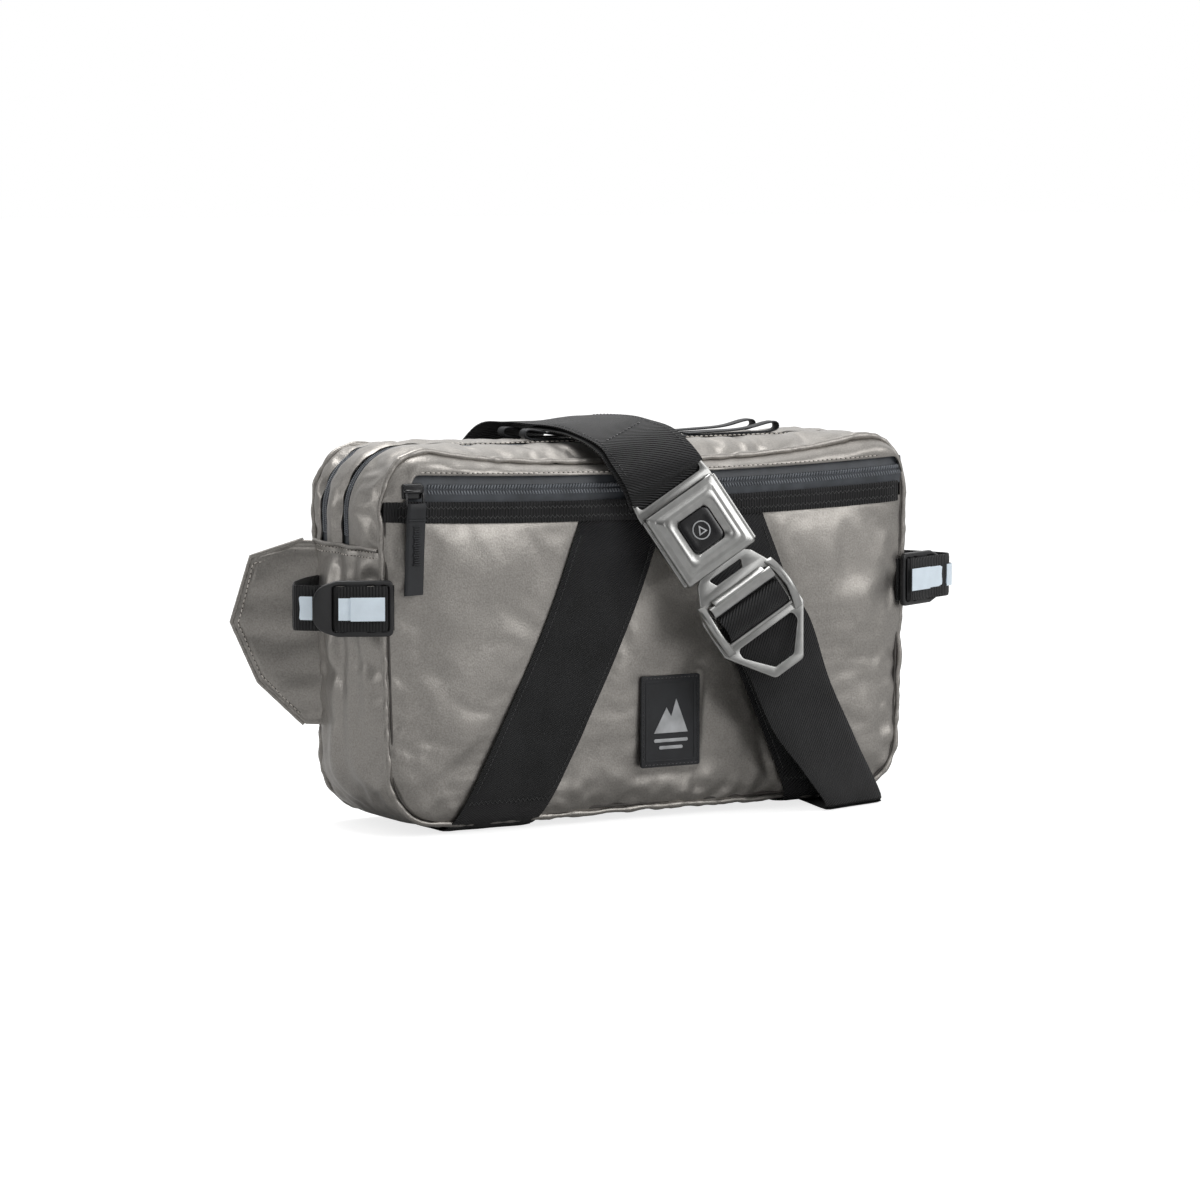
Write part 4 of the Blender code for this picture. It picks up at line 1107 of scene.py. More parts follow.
def buckle_frame():
    """X runs across the strap, Y up along it, and Z out of the buckle's face; axes come from the joints."""
    axes = {joint["name"]: Vector(joint["axis"]) for joint in frame["joints"]}
    up = -axes["tongue_slide"].normalized()
    normal = -axes["button_press"].normalized()
    place = Matrix((up.cross(normal), up, normal)).transposed().to_4x4()
    place.translation = (BUCKLE_ORIGIN + Vector((0, SHIFT_Y, 0))) * MM
    return place


def make_straps():
    """The belt strap, length by length; a station is its middle, its direction across and its normal."""
    across = BUCKLE.to_3x3() @ Vector((1, 0, 0))
    out = BUCKLE.to_3x3() @ Vector((0, 0, 1))
    up = BUCKLE.to_3x3() @ Vector((0, 1, 0))
    middle = BUCKLE_ORIGIN + up * 8.5
    over = [(tuple(middle + out * -9.0 - up * 6), across, out),
            (tuple(middle + out * -5.6 + up * 0.2), across, out + up * 0.5),
            ((-6.0, -67.8, 203.4), (0.92, 0.24, 0.3), out),
            ((-9.9, -64.6, 211.4), (0.94, 0.19, 0.25), (-0.2, -0.9, 0.4)),
            ((-13.4, -55.8, 219.6), (0.94, 0.24, 0.25), (-0.2, -0.7, 0.7)),
            ((-17.2, -45.0, 225.8), (0.89, 0.37, 0.25), (-0.15, -0.4, 0.9)),
            ((-20.1, -30.2, 229.9), (0.88, 0.42, 0.21), (-0.15, -0.2, 0.96)),
            ((-22.9, -11.9, 232.0), (0.88, 0.44, 0.16), (-0.12, -0.08, 1)),
            ((-27.2, 5.8, 232.4), (0.86, 0.49, 0.12), (-0.1, 0.02, 1)),
            ((-32.7, 24.1, 231.6), (0.83, 0.55, 0.08), (-0.1, 0.12, 1)),
            ((-38.8, 40.2, 228.4), (0.82, 0.54, 0.02), (-0.1, 0.4, 0.9)),
            ((-45.0, 53.0, 219.6), (0.86, 0.3, -0.3), (0, 0.85, 0.5)),
            ((-58.0, 59.0, 198.0), (0.84, 0, -0.54), (0, 1, 0)),
            ((-84.0, 58.0, 172.0), (0.72, 0, -0.69), (0, 1, 0))]
    webbing("belt_strap_upper", over, BELT_WIDTH, 1.7, stands_for=("strap_upper",), waviness=0.5)
    tail = [(Vector(m) - Vector(n).normalized() * 2.6 - Vector(a) * 2.2, a, n) for m, a, n in over[1:10]]
    webbing("belt_strap_fold", tail, BELT_WIDTH, 1.5, waviness=0.6)
    line = [tuple(Vector((-17.6, -40.0, 227.6)) + Vector((0.88, 0.40, 0.23)) * reach)
            for reach in range(-19, 23, 3)]
    placed, normals = laid(skin("belt_strap_upper"), line, [(-0.15, -0.3, 0.93)])
    stitches("belt_strap_stitch", placed, normals, "black_thread", pitch=3.2, length=2.3, radius=0.42)
    for edge in (-1, 1):
        line = [tuple(Vector(m) + Vector(a).normalized() * edge * 22.4) for m, a, n in over[3:9]]
        way = [tuple(Vector(n).normalized()) for m, a, n in over[3:9]]
        fine = [tuple(point) for point in curve_points(line, 3.0)]
        ways = stretched(curve_points(way, 3.0), len(fine))
        placed, normals = laid(skin("belt_strap_upper"), fine, ways)
        stitches(f"belt_strap_edge_{'ab'[edge > 0]}", placed, normals, "black_thread", pitch=2.9, length=2.0,
                 radius=0.26)

    lean, straight = math.sin(WING_ANGLE), math.cos(WING_ANGLE)
    rear = [((-84.0, 58.0, 172.0), (0.72, 0, -0.69), (0, 1, 0)),
            ((-112.0, 57.6, 146.0), (0.5, 0, -0.86), (0, 1, 0)),
            ((-145.0, 57.6, 128.0), (0.2, 0, -0.98), (0.1, 1, 0)),
            ((-178.0, 61.6, 119.0), (0.05, 0, -1), (0.35, 0.94, 0)),
            ((-200.6, 69.6, 114.4), (0.02, 0, -1), (lean, straight, 0))]
    strap = webbing("belt_strap_rear_left", rear, BELT_WIDTH, stands_for=("strap_rear_left",), body=None)
    blend(strap)
    rear = [((171.0, 58.8, 58.0), (0.92, 0, -0.35), (0, 1, 0)),
            ((180.0, 62.2, 80.0), (0.75, 0.25, -0.4), (-0.35, 0.93, 0)),
            ((196.9, 68.3, 113.0), (0.5, 0.42, -0.4), (-lean, straight, 0))]
    strap = webbing("belt_strap_rear_right", rear, BELT_WIDTH, stands_for=("strap_rear_right",), body=None)
    blend(strap)

    lower = [(tuple(buckle_point(0, -79.0, -8.0)), across, out), ((59.3, -83.9, 107.4), (0.84, 0.06, 0.5), out),
             ((79.0, -81.2, 66.4), (0.88, 0.16, 0.4), (-0.05, -0.98, 0.3)),
             ((105.4, -73.0, 32.2), (0.93, 0.24, 0.2), (0.2, -0.95, 0.2)),
             ((124.0, -66.8, 9.0), (0.955, 0.28, 0.06), (0.27, -0.95, 0.1)),
             ((127.2, -65.2, 3.6), (0.965, 0.26, 0), (0.24, -0.88, -0.4))]
    strap = webbing("belt_strap_lower", lower, BELT_WIDTH, stands_for=("strap_lower",), body=None, waviness=0.4)
    blend(strap)
    under = [((127.2, -65.2, 3.6), (0.965, 0.26, 0), (0.24, -0.88, -0.4)),
             ((128.6, -61.4, 1.6), (0.965, 0.26, 0), (0.1, -0.37, -0.92)),
             ((130.0, -55.0, 0.9), (0.965, 0.26, 0), (0, 0, -1)),
             ((152.0, 40.0, 0.9), (0.98, 0.2, 0), (0, 0, -1)),
             ((154.0, 51.0, 2.1), (0.98, 0.2, 0), (-0.1, 0.5, -0.86)),
             ((156.5, 57.0, 8.6), (0.98, 0.1, -0.1), (-0.1, 0.98, -0.2)),
             ((163.0, 58.6, 30.0), (0.96, 0, -0.28), (0, 1, 0)),
             ((171.0, 58.8, 58.0), (0.92, 0, -0.35), (0, 1, 0))]
    webbing("belt_strap_under", under, BELT_WIDTH, stands_for=("strap_under",), waviness=0.1)


def blend(item):
    """Bake a piece's placement into its mesh."""
    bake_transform(item)


def buckle_point(x, y, z):
    """A point of the buckle's own frame, in bag millimetres."""
    point = (BUCKLE @ (Vector((x, y, z)) * MM)) / MM
    return point - Vector((0, SHIFT_Y, 0))


# ---------------------------------------------------------------- buckle

def at(x=0.0, y=0.0, z=0.0):
    return BUCKLE @ Matrix.Translation(Vector((x, y, z)) * MM)


def make_buckle():
    """Back plate with its flanges, pressed cover, button with its mark and leaf, and the tongue."""
    base = rounded([(-26.5, -COVER_LENGTH + 1, 2.0), (26.5, -COVER_LENGTH + 1, 2.0), (26.5, 2.0, 3.0),
                    (24.0, 17.5, 5.0), (-24.0, 17.5, 5.0), (-26.5, 2.0, 3.0)], steps=6)
    slot = rectangle(45.0, 7.4, 2.4, y=8.5)
    plate("buckle_back_plate", [base, slot], 1.8, "metal", at(z=-6.4), stands_for=("buckle_base",), edge=0.5)
    for side in (-1, 1):
        flange = rectangle(2.6, COVER_LENGTH - 3.0, 0.8, x=side * 25.6, y=-COVER_LENGTH / 2)
        plate(f"buckle_flange_{'ab'[side > 0]}", [flange], 2.4, "metal", at(z=-3.9), edge=0.6)

    middle = -COVER_LENGTH / 2
    hole = BUTTON_SIZE / 2 + 0.5
    # inset from the cover's edge, height, corner radius
    profile = ((0.0, -5.2, 1.4), (0.0, -2.0, 1.6), (0.6, -0.9, 1.8), (1.5, -0.5, 2.0), (3.6, -0.5, 2.4),
               (4.4, -0.1, 2.6),
               (6.2, 1.8, 3.4), (7.0, 2.3, 3.8), (9.2, 2.4, 4.2), (10.4, 2.1, 4.6), (12.6, 0.5, 4.6),
               (COVER_WIDTH / 2 - hole, 0.0, 4.2), (COVER_WIDTH / 2 - hole, -3.4, 4.2))
    rings = []
    for inset, height, radius in profile:
        lengthwise = min(inset, COVER_LENGTH / 2 - hole)
        outline = rectangle(COVER_WIDTH - 2 * inset, COVER_LENGTH - 2 * lengthwise, radius, y=middle, steps=7)
        rings.append([(point.x, point.y, height) for point in outline])
    count = len(rings[0])
    verts = [point for ring in rings for point in ring]
    cover = make_piece("buckle_cover_shell", verts, grid_faces(len(rings), count, closed=True), "metal", None,
                       place=BUCKLE)
    recalculate(cover)
    top = max(cover.data.polygons, key=lambda face: face.center.z)
    if top.normal.z < 0:
        cover.data.flip_normals()
    modify(cover, "SOLIDIFY", thickness=0.9 * MM, offset=-1.0)
    settle(cover, "bag", ("buckle_cover",), 40)

    button = []
    for inset, height in ((0.2, -3.0), (0.0, -0.4), (0.5, 0.25), (1.6, 0.5), (4.0, 0.3), (8.0, 0.2)):
        size = BUTTON_SIZE - 2 * inset
        outline = rectangle(size, size, max(4.0 - inset * 0.5, 1.0), y=middle)
        button.append([(point.x, point.y, height) for point in outline])
    loft("button_cap", button, "gloss", BUCKLE, "buckle_button", ("buckle_button",), smooth=30)
    rings = [[Vector((radius * math.cos(turn * math.pi / 16), middle + radius * math.sin(turn * math.pi / 16)))
              for turn in range(32)] for radius in (5.6, 4.9)]
    plate("button_ring", rings, 0.3, "emblem", at(z=0.42), "buckle_button", edge=0.05)
    peak = [Vector((x, y + middle)) for x, y in ((-3.0, -2.2), (3.0, -2.2), (0.0, 3.2))]
    hollow = [Vector((x, y + middle)) for x, y in ((-1.7, -1.5), (1.7, -1.5), (0.0, 1.6))]
    plate("button_mark", [peak, hollow], 0.3, "emblem", at(z=0.42), "buckle_button", edge=0.05)
    along, out = BUCKLE.to_3x3() @ Vector((0, 1, 0)), BUCKLE.to_3x3() @ Vector((0, 0, 1))
    leaf = [(buckle_point(x, middle, z), along, out)
            for x, z in ((-10.0, -5.2), (-5.0, -4.2), (0.0, -3.4), (5.0, -4.2), (10.0, -5.2))]
    item = webbing("button_leaf", leaf, 7.0, 0.3, "metal", "bag", ("button_spring",), step=1.5, waviness=0.0)
    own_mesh(item)
    make_tongue()


def make_tongue():
    """A stamped latch plate: raised sides, a webbing opening with its bar, and a finger opening."""
    tip, side = 10.5, 30.0
    outline = rounded([(-14.0, -14.0, 3.0), (-14.0, -46.0, 0.0), (-20.0, -50.5, 1.0), (-24.0, -58.0, 3.0),
                       (-side, -70.0, 8.0), (-side, -93.5, 4.0), (-tip, -TONGUE_LENGTH, 4.0),
                       (tip, -TONGUE_LENGTH, 4.0), (side, -93.5, 4.0), (side, -70.0, 8.0),
                       (24.0, -58.0, 3.0), (20.0, -50.5, 1.0), (14.0, -46.0, 0.0), (14.0, -14.0, 3.0)], steps=6)
    window = rounded([(-12.0, -51.5, 0.8), (12.0, -51.5, 0.8), (9.5, -56.2, 0.8), (-9.5, -56.2, 0.8)], 4)
    opening = rectangle(46.0, 25.0, 3.0, y=-76.5)
    finger = rounded([(-20.5, -94.6, 2.5), (-20.5, -100.0, 3.0), (-6.8, -115.4, 3.0),
                      (6.8, -115.4, 3.0), (20.5, -100.0, 3.0), (20.5, -94.6, 2.5)], steps=6)
    plate("latch_plate", [outline, window, opening, finger], 2.2, "metal", at(z=-4.2), "tongue",
          ("tongue_plate",), edge=0.7, segments=3)
    for word, turn in (("left", -1), ("right", 1)):
        rings = []
        for share in np.linspace(0, 1, 25):
            y = -61.0 - 34.0 * share
            rise = 5.4 * math.sin(math.pi * share) ** 0.7
            x = turn * (25.0 + 1.9 * math.sin(math.pi * share))
            rings.append([(x - 2.7, y, -3.6), (x + 2.7, y, -3.6), (x + 2.6, y, -3.2 + 0.75 * rise),
                          (x + 1.5, y, -2.9 + rise), (x - 1.2, y, -2.9 + rise), (x - 2.5, y, -3.2 + 0.8 * rise)])
        loft(f"latch_rail_{word}", rings, "metal", BUCKLE, "tongue", (f"tongue_rail_{word}",), bevel=0.35,
             smooth=40)
    bar = []
    for share in np.linspace(-1, 1, 13):
        x = share * 22.4
        bar.append([(x, -68.0 + 3.7 * math.cos(turn * math.pi / 8), -0.6 + 2.3 * math.sin(turn * math.pi / 8))
                    for turn in range(16)])
    loft("slide_bar", bar, "metal", BUCKLE, "adjuster_bar", ("adjuster_bar",), smooth=35)
    lip = []
    for share in np.linspace(-1, 1, 13):
        x = share * 18.6
        lip.append([(x, -64.4, -2.6), (x, -62.0, -2.4), (x, -61.8, -1.4), (x, -64.2, 1.2), (x, -65.4, 1.4)])
    loft("slide_bar_lip", lip, "metal", BUCKLE, "adjuster_bar", bevel=0.25, smooth=35)
    wrap = [((0, -71.6, -8.6), (1, 0, 0), (0, 1, -0.2)), ((0, -72.9, -3.0), (1, 0, 0), (0, 1, 0.3)),
            ((0, -74.4, 0.4), (1, 0, 0), (0, 0.6, 1)), ((0, -79.4, 1.9), (1, 0, 0), (0, 0, 1)),
            ((0, -84.6, 0.5), (1, 0, 0), (0, -0.5, 1)), ((0, -87.6, -2.9), (1, 0, 0), (0, -1, 0.4)),
            ((0, -88.2, -8.6), (1, 0, 0), (0, -1, 0))]
    webbing("latch_webbing", wrap, 43.0, 1.6, body="tongue", stands_for=("adjuster_webbing",), place=BUCKLE,
            step=1.2, waviness=0.25)
    rest_bar = [[(x, -89.6 + 1.3 * math.cos(turn * math.pi / 6), -3.0 + 1.5 * math.sin(turn * math.pi / 6))
                 for turn in range(12)] for x in np.linspace(-23.0, 23.0, 7)]
    loft("latch_rest_bar", rest_bar, "metal", BUCKLE, "tongue", smooth=40)


# ---------------------------------------------------------------- wings and locks

def side_frame(side, pivot, angle):
    """A placement on a vertical axis: its X runs outward and back, its Y runs up."""
    out = Vector((side * math.cos(angle), math.sin(angle), 0))
    up = Vector((0, 0, 1))
    place = Matrix((out, up, out.cross(up))).transposed().to_4x4()
    place.translation = Vector((side * pivot.x, pivot.y + SHIFT_Y, 0)) * MM
    return place


def make_wing(side, word):
    """A lightly padded wing with a bound edge, topstitching and creases from its hinge."""
    place = side_frame(side, WING_HINGE, WING_ANGLE)
    outline = ((57.0, 1.0), (60.0, 5.0), (82.0, 30.0), (116.5, 46.0), (155.0, 34.0), (163.0, 8.0), (166.0, 1.0))
    heights = np.concatenate([np.linspace(57.4, 82, 16), np.linspace(84, 155, 40), np.linspace(156, 165.6, 12)])
    reach = np.interp(heights, [row[0] for row in outline], [row[1] for row in outline])
    share = np.linspace(0, 1, 34)
    root = -5.0 - np.maximum(0, WING_HINGE.x - outline_half(heights, SEAM_INSET)) / math.cos(WING_ANGLE)
    u = root[:, None] + (reach - root)[:, None] * share[None, :]
    z = np.repeat(heights[:, None], len(share), axis=1)
    edge = np.minimum(np.minimum(reach[:, None] - u, (166.0 - z)), (z - 56.0) * 0.8)
    edge = np.maximum(edge, 0)
    half = 0.55 + 1.5 * (1 - np.exp(-edge / 3.5)) - 0.75 * np.exp(-((edge - 4.2) / 0.8) ** 2)
    front = side
    cup = -CUP * smoothstep(0, 40, u)
    field = np.stack([u, z, np.zeros_like(u)], axis=-1)
    crease = 1.5 * ripple(field * (0.45, 1, 1), 15, 17.0 + side)
    crease = crease + 0.9 * pucker(field, edge, 1.0, 6.0, 23.0 + side, 7.0)
    crease = crease * smoothstep(0, 6, edge)
    both = []
    for face in (1, -1):
        depth = cup * front + face * half + crease
        both.append(np.stack([u, z, depth], axis=-1))
    rows, columns = u.shape
    verts = np.concatenate([both[0].reshape(-1, 3), both[1].reshape(-1, 3)])
    count = rows * columns
    faces = grid_faces(rows, columns)
    faces += [tuple(index + count for index in reversed(face)) for face in grid_faces(rows, columns)]
    rim = list(range(columns))
    rim += [row * columns + columns - 1 for row in range(1, rows)]
    rim += [(rows - 1) * columns + column for column in reversed(range(columns - 1))]
    rim += [row * columns for row in reversed(range(1, rows - 1))]
    for here, after in zip(rim, rim[1:] + rim[:1]):
        faces.append((here, here + count, after + count, after))
    item = make_piece(f"wing_pad_{word}", verts, faces, "fabric", None, place=place, smooth=0)
    recalculate(item)
    modify(item, "SUBSURF", levels=1, render_levels=1)
    settle(item, None, (f"wing_{word}",), 70)
    blend(item)
    points = []
    for z_at, u_at in ((59.0, 3.0), (82.0, 30.0), (116.5, 46.0), (155.0, 34.0), (164.5, 3.0)):
        away = Vector((u_at - 18.0, z_at - 112.0)).normalized() * WING_STITCH_INSET
        bow = -CUP * front * float(smoothstep(0, 40, u_at))
        points.append((u_at - away.x, z_at - away.y, bow + 1.6 * front))
    straight = []
    for first, second in zip(points, points[1:]):
        for share_at in np.arange(6) / 6:
            straight.append(tuple(np.array(first) + (np.array(second) - np.array(first)) * share_at))
    straight.append(points[-1])
    trim = [tube(f"wing_binding_{word}", wing_edge(front), 1.35, "fabric", None, sides=10)]
    trim += stitches(f"wing_stitch_{word}_inner", straight, [(0, 0, front)], "thread", None, pitch=3.0)
    for line in trim:
        line.data.transform(place @ Matrix.Translation((0, -SHIFT_Y * MM, 0)))
        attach(line, f"wing_{word}")


def wing_edge(front):
    """The wing's outer edge, in its own plane."""
    knots = ((57.6, 2.5), (82.0, 30.0), (116.5, 46.0), (155.0, 34.0), (165.6, 2.5))
    points = []
    for (z0, u0), (z1, u1) in zip(knots, knots[1:]):
        for share in np.arange(14) / 14:
            u = u0 + (u1 - u0) * share
            z = z0 + (z1 - z0) * share
            points.append((u, z, -CUP * front * float(smoothstep(0, 40, u)) + 0.25 * math.sin(z)))
    points.append((knots[-1][1], knots[-1][0], 0))
    return points


def make_lock(side, word):
    """A ladder lock with its webbing, a thumb tab and a reflective strip."""
    place = side_frame(side, LOCK_PIVOT, LOCK_ANGLE)
    front = side
    lock = f"ladder_lock_{word}"
    body = rounded([(-1.8, LOCK_Z - 16, 3.4), (30.0, LOCK_Z - 16, 5.0), (44.0, LOCK_Z - 11.5, 11.0),
                    (44.0, LOCK_Z + 11.5, 11.0), (30.0, LOCK_Z + 16, 5.0), (-1.8, LOCK_Z + 16, 3.4)], 6)
    slots = [rectangle(end - start, 25.7, 1.4, x=(start + end) / 2, y=LOCK_Z, steps=4)
             for start, end in ((0.9, 5.4), (8.4, 13.6), (25.2, 32.8))]
    plate(f"ladder_lock_frame_{word}", [body] + slots, 3.4, "plastic", place, lock, (lock,), edge=1.1, segments=4)

    def run(points):
        return [((u, LOCK_Z, v * front), (0, 1, 0), (nu, 0, nv * front)) for u, v, nu, nv in points]

    anchor = run(((2.6, 0.6, 1, 0.3), (2.6, -0.8, 1, -0.2), (1.6, -2.9, 0.4, -1), (-2.4, -3.3, 0, -1)))
    webbing(f"lock_loop_{word}", anchor, LOCK_WEB_WIDTH, 1.1, "grosgrain", "bag", (f"lock_anchor_{word}",),
            place=place, step=1.0)
    start = ((2.0, 1.5, -1, 0.4), (3.0, 2.8, -0.5, 0.9), (6.0, 3.3, -0.05, 1), (16.0, 3.6, 0, 1), (27.0, 3.5, 0.1, 1))
    under = ((30.6, 2.2, 0.7, 0.7), (31.6, -0.4, 0.95, 0.3), (32.6, -2.4, 0.7, 0.7), (36.0, -3.5, 0.1, 1),
             (43.0, -4.2, 0.2, 1))
    over = ((36.0, 4.0, 0.05, 1), (44.0, 4.0, 0.1, 1), (49.5, 2.2, 0.5, 0.85), (52.6, -2.0, 0.85, 0.5))
    web = run(start + (under if side < 0 else over) + ((53.0, -7.6, 0.9, 0.4), (54.4, -14.0, 1, 0.2)))
    item = webbing(f"lock_webbing_{word}", web, LOCK_WEB_WIDTH, WEB_THICKNESS, "grosgrain", None,
                   (f"compression_webbing_{word}",), place=place, step=1.2, waviness=0.2)
    blend(item)
    rest = run(((54.4, -14.0, 1, 0.2), (53.0, -32.0, 1, 0), (47.0, -54.0, 1, 0), (39.0, -71.0, 1, 0.1)))
    item = webbing(f"side_webbing_{word}", rest, LOCK_WEB_WIDTH, WEB_THICKNESS, "grosgrain", None, place=place,
                   step=2.0, waviness=0.4)
    blend(item)
    left = side < 0
    stands = (f"reflective_strip_{word}",)
    for part, start, end, lift, trim, stand in (("near", 3.2 if left else 1.4, 22.6, 1.0, 0.0, stands),
                                                ("far", 22.0, 29.4 if left else 46.0, 0.0, 0.8, ())):
        strip = run([(u, 4.55 + lift - 0.0018 * (u - 17) ** 2 * left, 0.004 * (u - 17), 1)
                     for u in np.linspace(start, end, 8)])
        webbing(f"reflective_{part}_{word}", strip, REFLECTIVE_WIDTH - trim, 0.4, "reflective", lock, stand,
                place=place, step=1.5, waviness=0.0)
    tail = ((44.0, -3.4, 0.2, 1), (48.0, -4.7, 0.5, 0.9), (51.6, -6.4, 0.8, 0.6), (53.8, -9.4, 1, 0.3))
    if not left:
        tail = ((43.0, 5.2, 0.05, 1), (47.5, 5.1, 0.2, 1), (51.2, 3.7, 0.6, 0.8), (54.4, -0.9, 0.85, 0.5),
                (55.3, -7.0, 1, 0.3))
    webbing(f"reflective_tail_{word}", run(tail), REFLECTIVE_WIDTH, 0.4, "reflective", lock, place=place, step=1.5,
            waviness=0.0)


def make_hems():
    """Folded hems with double topstitching along the top of each side panel."""
    surface = skin("wall_panel")
    for side, word in ((-1, "left"), (1, "right")):
        for row, height in enumerate((HEM_Z - 2.4, HEM_Z - 5.4)):
            line = [(side * (float(half_width(height)) + 2.0 - SEAM_INSET * float(seam_share(y))), y, height)
                    for y in np.linspace(-37.0, 40.0, 30)]
            placed, normals = laid(surface, line, [(side, 0, 0)])
            stitches(f"side_hem_stitch_{word}_{row}", placed, normals)
        edge = []
        for y in np.linspace(-38.5, 41.0, 50):
            inset = SEAM_INSET * float(seam_share(y)) - 1.3
            edge.append((side * (float(half_width(HEM_Z)) - inset), y, HEM_Z - 0.6 + 0.4 * math.sin(y * 0.2)))
        tube(f"side_hem_fold_{word}", edge, 1.3, "fabric")


# ---------------------------------------------------------------- zip sliders

def make_pocket_slider():
    """The front pocket's slider, its bail and its ribbed rubber pull."""
    face = FRONT_FACE - 1.0
    place = facing_front(face - 0.6, SLIDER_X, SLIDER_Z)
    shape = rounded([(-6.5, -4.4, 1.6), (5.0, -4.6, 1.6), (7.0, -2.6, 1.2), (7.0, 2.6, 1.2), (5.0, 4.6, 1.6),
                     (-6.5, 4.4, 1.6)], 4)
    plate("zip_slider_body", [shape], 2.8, "gloss", place, "pocket_slider", ("pocket_slider",), edge=0.7, segments=3)
    bridge = [(-5.0, 0, 1.0), (-4.2, 0, 2.9), (0, 0, 3.5), (3.8, 0, 2.9), (4.8, 0, 1.0)]
    tube("zip_slider_bridge", curve_points(bridge, 0.8), 1.2, "gloss", "pocket_slider", place=place)
    ring = [(SLIDER_X + x, face - out, SLIDER_Z - down)
            for x, out, down in ((-5.2, 3.2, 1.0), (-5.4, 3.8, 4.0), (-4.6, 4.2, 7.8), (0.0, 4.4, 8.8),
                                 (4.6, 4.2, 7.8), (5.4, 3.8, 4.0), (5.2, 3.2, 1.0))]
    tube("zip_slider_ring", curve_points(ring, 0.8), 0.75, "gloss", "pocket_slider", ("pocket_bail",))

    hinge = SLIDER_Z - 6.8
    stations = []
    for down, out in ((0.0, 5.6), (2.6, 6.0), (8.0, 5.2), (20.0, 4.6), (40.0, 4.3), (52.0, 4.2)):
        stations.append(((SLIDER_X + 0.3 - down * 0.03, face - out, hinge - down), (1, 0, 0.03), (0, -1, 0)))
    webbing("zip_pull_tab", stations, 11.6, 2.7, "rubber", "pocket_pull", ("pocket_pull",), step=1.5, waviness=0.0)
    for index in range(17):
        down = 13.0 + index * 1.35
        long = 3.4 if index % 4 else 4.4
        rib = [(SLIDER_X - 0.2 + end * long / 2, face - 6.3, hinge - down) for end in (-1, 1)]
        tube(f"zip_pull_rib_{index:02d}", curve_points(rib, 1.0), 0.5, "rubber", "pocket_pull", sides=8)
    fold = [(SLIDER_X - 5.4, face - 7.0, hinge - 9.4), (SLIDER_X + 5.4, face - 7.0, hinge - 9.4)]
    tube("zip_pull_fold", curve_points(fold, 1.5), 0.5, "rubber", "pocket_pull", sides=8)


def make_top_sliders():
    """Two zips with two sliders each, and a folded tape pull on each slider."""
    for row, y in (("front", sum(FRONT_ZIP_Y) / 2), ("rear", sum(REAR_ZIP_Y) / 2 - 0.6)):
        for word, side, slider_x, reach in (("left", -1, 16.0, 76.0), ("right", 1, 29.0, 78.0)):
            top = BODY_TOP - 1.9
            place = Matrix.Translation(Vector((slider_x, y + SHIFT_Y, top + 1.9)) * MM)
            shape = rectangle(9.6, 7.2, 1.8)
            plate(f"{row}_zip_slider_{word}", [shape], 3.0, "gloss", place, f"{row}_slider_{word}",
                  (f"{row}_slider_{word}",), edge=0.7)
            start = slider_x + side * 4.0
            end = start + side * reach
            run = [(start, 2.6), (start + side * 12, 2.2)]
            run += [(end - side * back, height + 1.4) for back, height in (
                (22, 1.4), (8, 1.7), (1.2, 3.2), (0, 5.4), (1.8, 7.4), (8, 7.0), (20, 4.4), (34, 3.2))]
            run.append((start + side * 14, 3.6))
            stations = []
            for index, (x, z) in enumerate(run):
                before, after = run[max(index - 1, 0)], run[min(index + 1, len(run) - 1)]
                stations.append(((x, y, top + z), (0, 1, 0), (before[1] - after[1], 0, after[0] - before[0])))
            pull = f"{row}_pull_{word}"
            webbing(f"{row}_zip_pull_{word}", stations, 7.4, 1.1, "rubber", pull, (pull,), step=1.6, waviness=0.15)


# ---------------------------------------------------------------- studio

def make_camera():
    """A long lens from the front left, a little above the bag."""
    data = bpy.data.cameras.new("camera")
    data.lens = 131.1
    data.sensor_width = 36.0
    item = bpy.data.objects.new("camera", data)
    SCENE.collection.objects.link(item)
    spot = Vector(metres((-1301.07, -2235.0, 378.84))[0])
    aim = Vector(metres((-7.28, 5.92, 125.13))[0])
    item.location = spot
    item.rotation_euler = (aim - spot).to_track_quat("-Z", "Y").to_euler()
    SCENE.camera = item


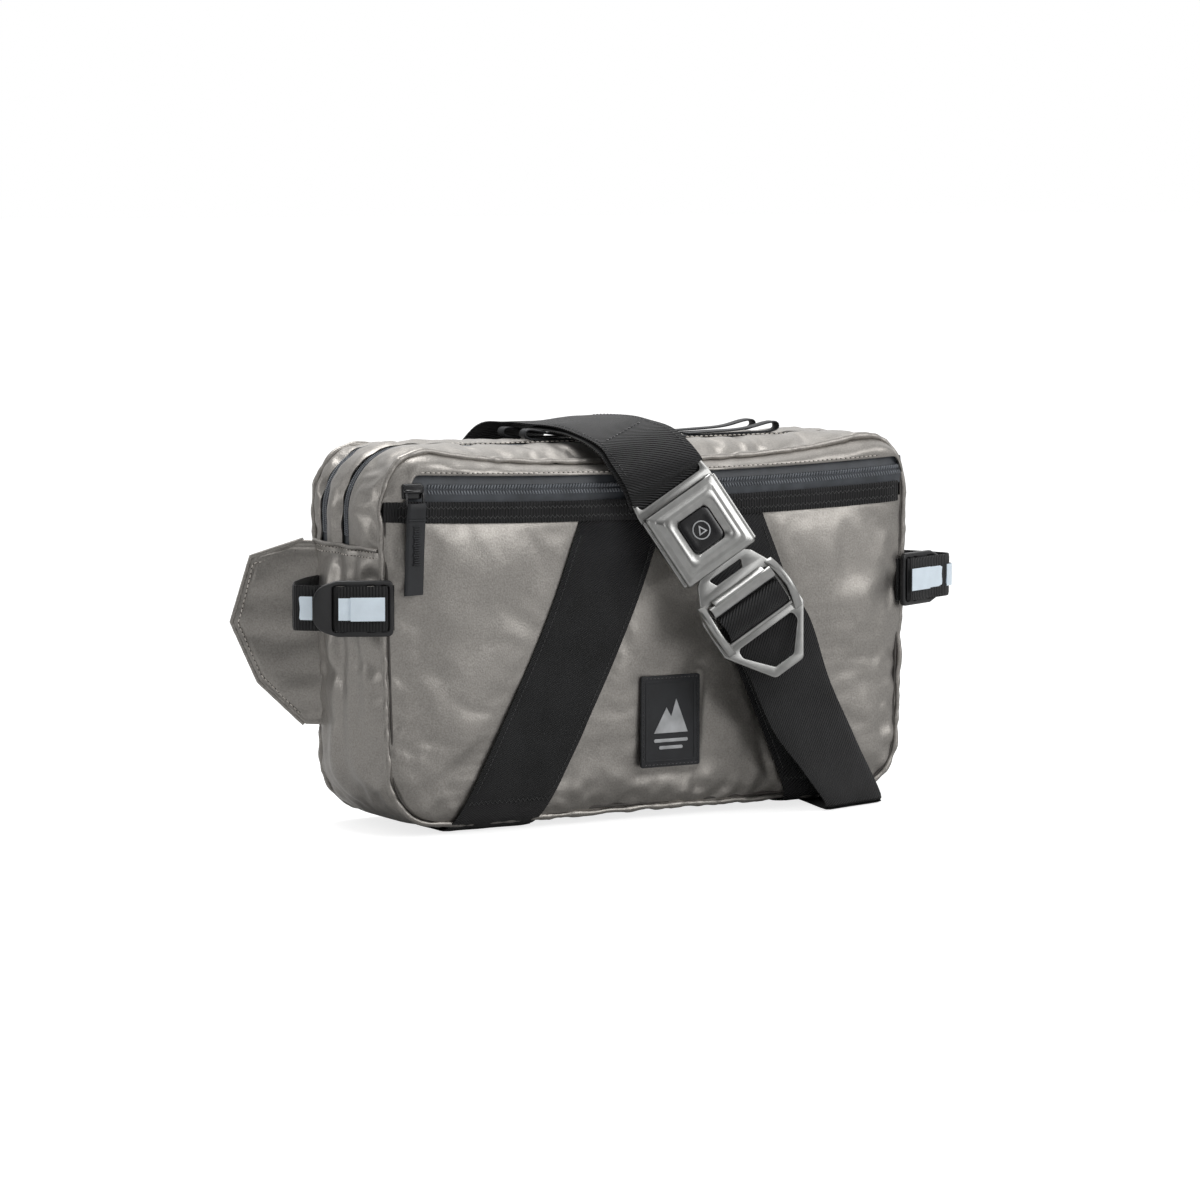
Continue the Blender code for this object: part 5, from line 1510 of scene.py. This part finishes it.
def make_studio():
    """A pale floor, a white backdrop and soft lights."""
    made, node, into = principled("studio_paper", (0.5, 0.5, 0.5), 0.8, Specular_IOR_Level=0.0,
                                  Emission_Color=(1, 1, 1, 1))
    seen = node("LightPath").outputs["Is Camera Ray"]
    into("Emission Strength", node("Math", {0: seen, 1: FLOOR_LIFT}, operation="MULTIPLY").outputs[0])
    floor = bpy.data.meshes.new("floor")
    floor.from_pydata([(-30, -30, 0), (30, -30, 0), (30, 30, 0), (-30, 30, 0)], [], [(0, 1, 2, 3)])
    floor.materials.append(made)
    item = bpy.data.objects.new("floor", floor)
    SCENE.collection.objects.link(item)
    world = bpy.data.worlds.new("studio")
    world.use_nodes = True
    node, background = node_maker(world.node_tree), world.node_tree.nodes["Background"]
    background.inputs["Color"].default_value = (1, 1, 1, 1)
    way = node("TexCoord").outputs["Generated"]
    total = WORLD_GLOW
    for direction, low, high, gain in SKY:
        toward = node("VectorMath", {0: way, 1: direction}, operation="DOT_PRODUCT").outputs["Value"]
        fade = node("MapRange", {"Value": toward, "From Min": low, "From Max": high, "To Min": 0.0, "To Max": gain},
                    interpolation_type="SMOOTHSTEP").outputs["Result"]
        total = node("Math", {0: fade, 1: total}).outputs[0]
    seen = node("LightPath").outputs["Is Camera Ray"]
    backdrop = node("Mix", {"Factor": seen, "A": total, "B": 1.0}).outputs["Result"]
    world.node_tree.links.new(backdrop, background.inputs["Strength"])
    SCENE.world = world
    SCENE.view_settings.view_transform = "Standard"
    for name, spot, size, power in LAMPS:
        data = bpy.data.lights.new(name, "AREA")
        data.energy = power
        data.size = size
        lamp = bpy.data.objects.new(name, data)
        SCENE.collection.objects.link(lamp)
        lamp.location = spot
        lamp.rotation_euler = (Vector((0, 0, 0.1)) - Vector(spot)).to_track_quat("-Z", "Y").to_euler()


# ---------------------------------------------------------------- build

make_camera()
make_studio()
BUCKLE = buckle_frame()
make_wall()
make_front()
make_top_strip()
make_band()
make_top_zips()
make_piping()
make_back()
make_diagonals()
make_patch()
make_straps()
make_buckle()
for side, word in ((-1, "left"), (1, "right")):
    make_wing(side, word)
    make_lock(side, word)
make_hems()
make_pocket_slider()
make_top_sliders()
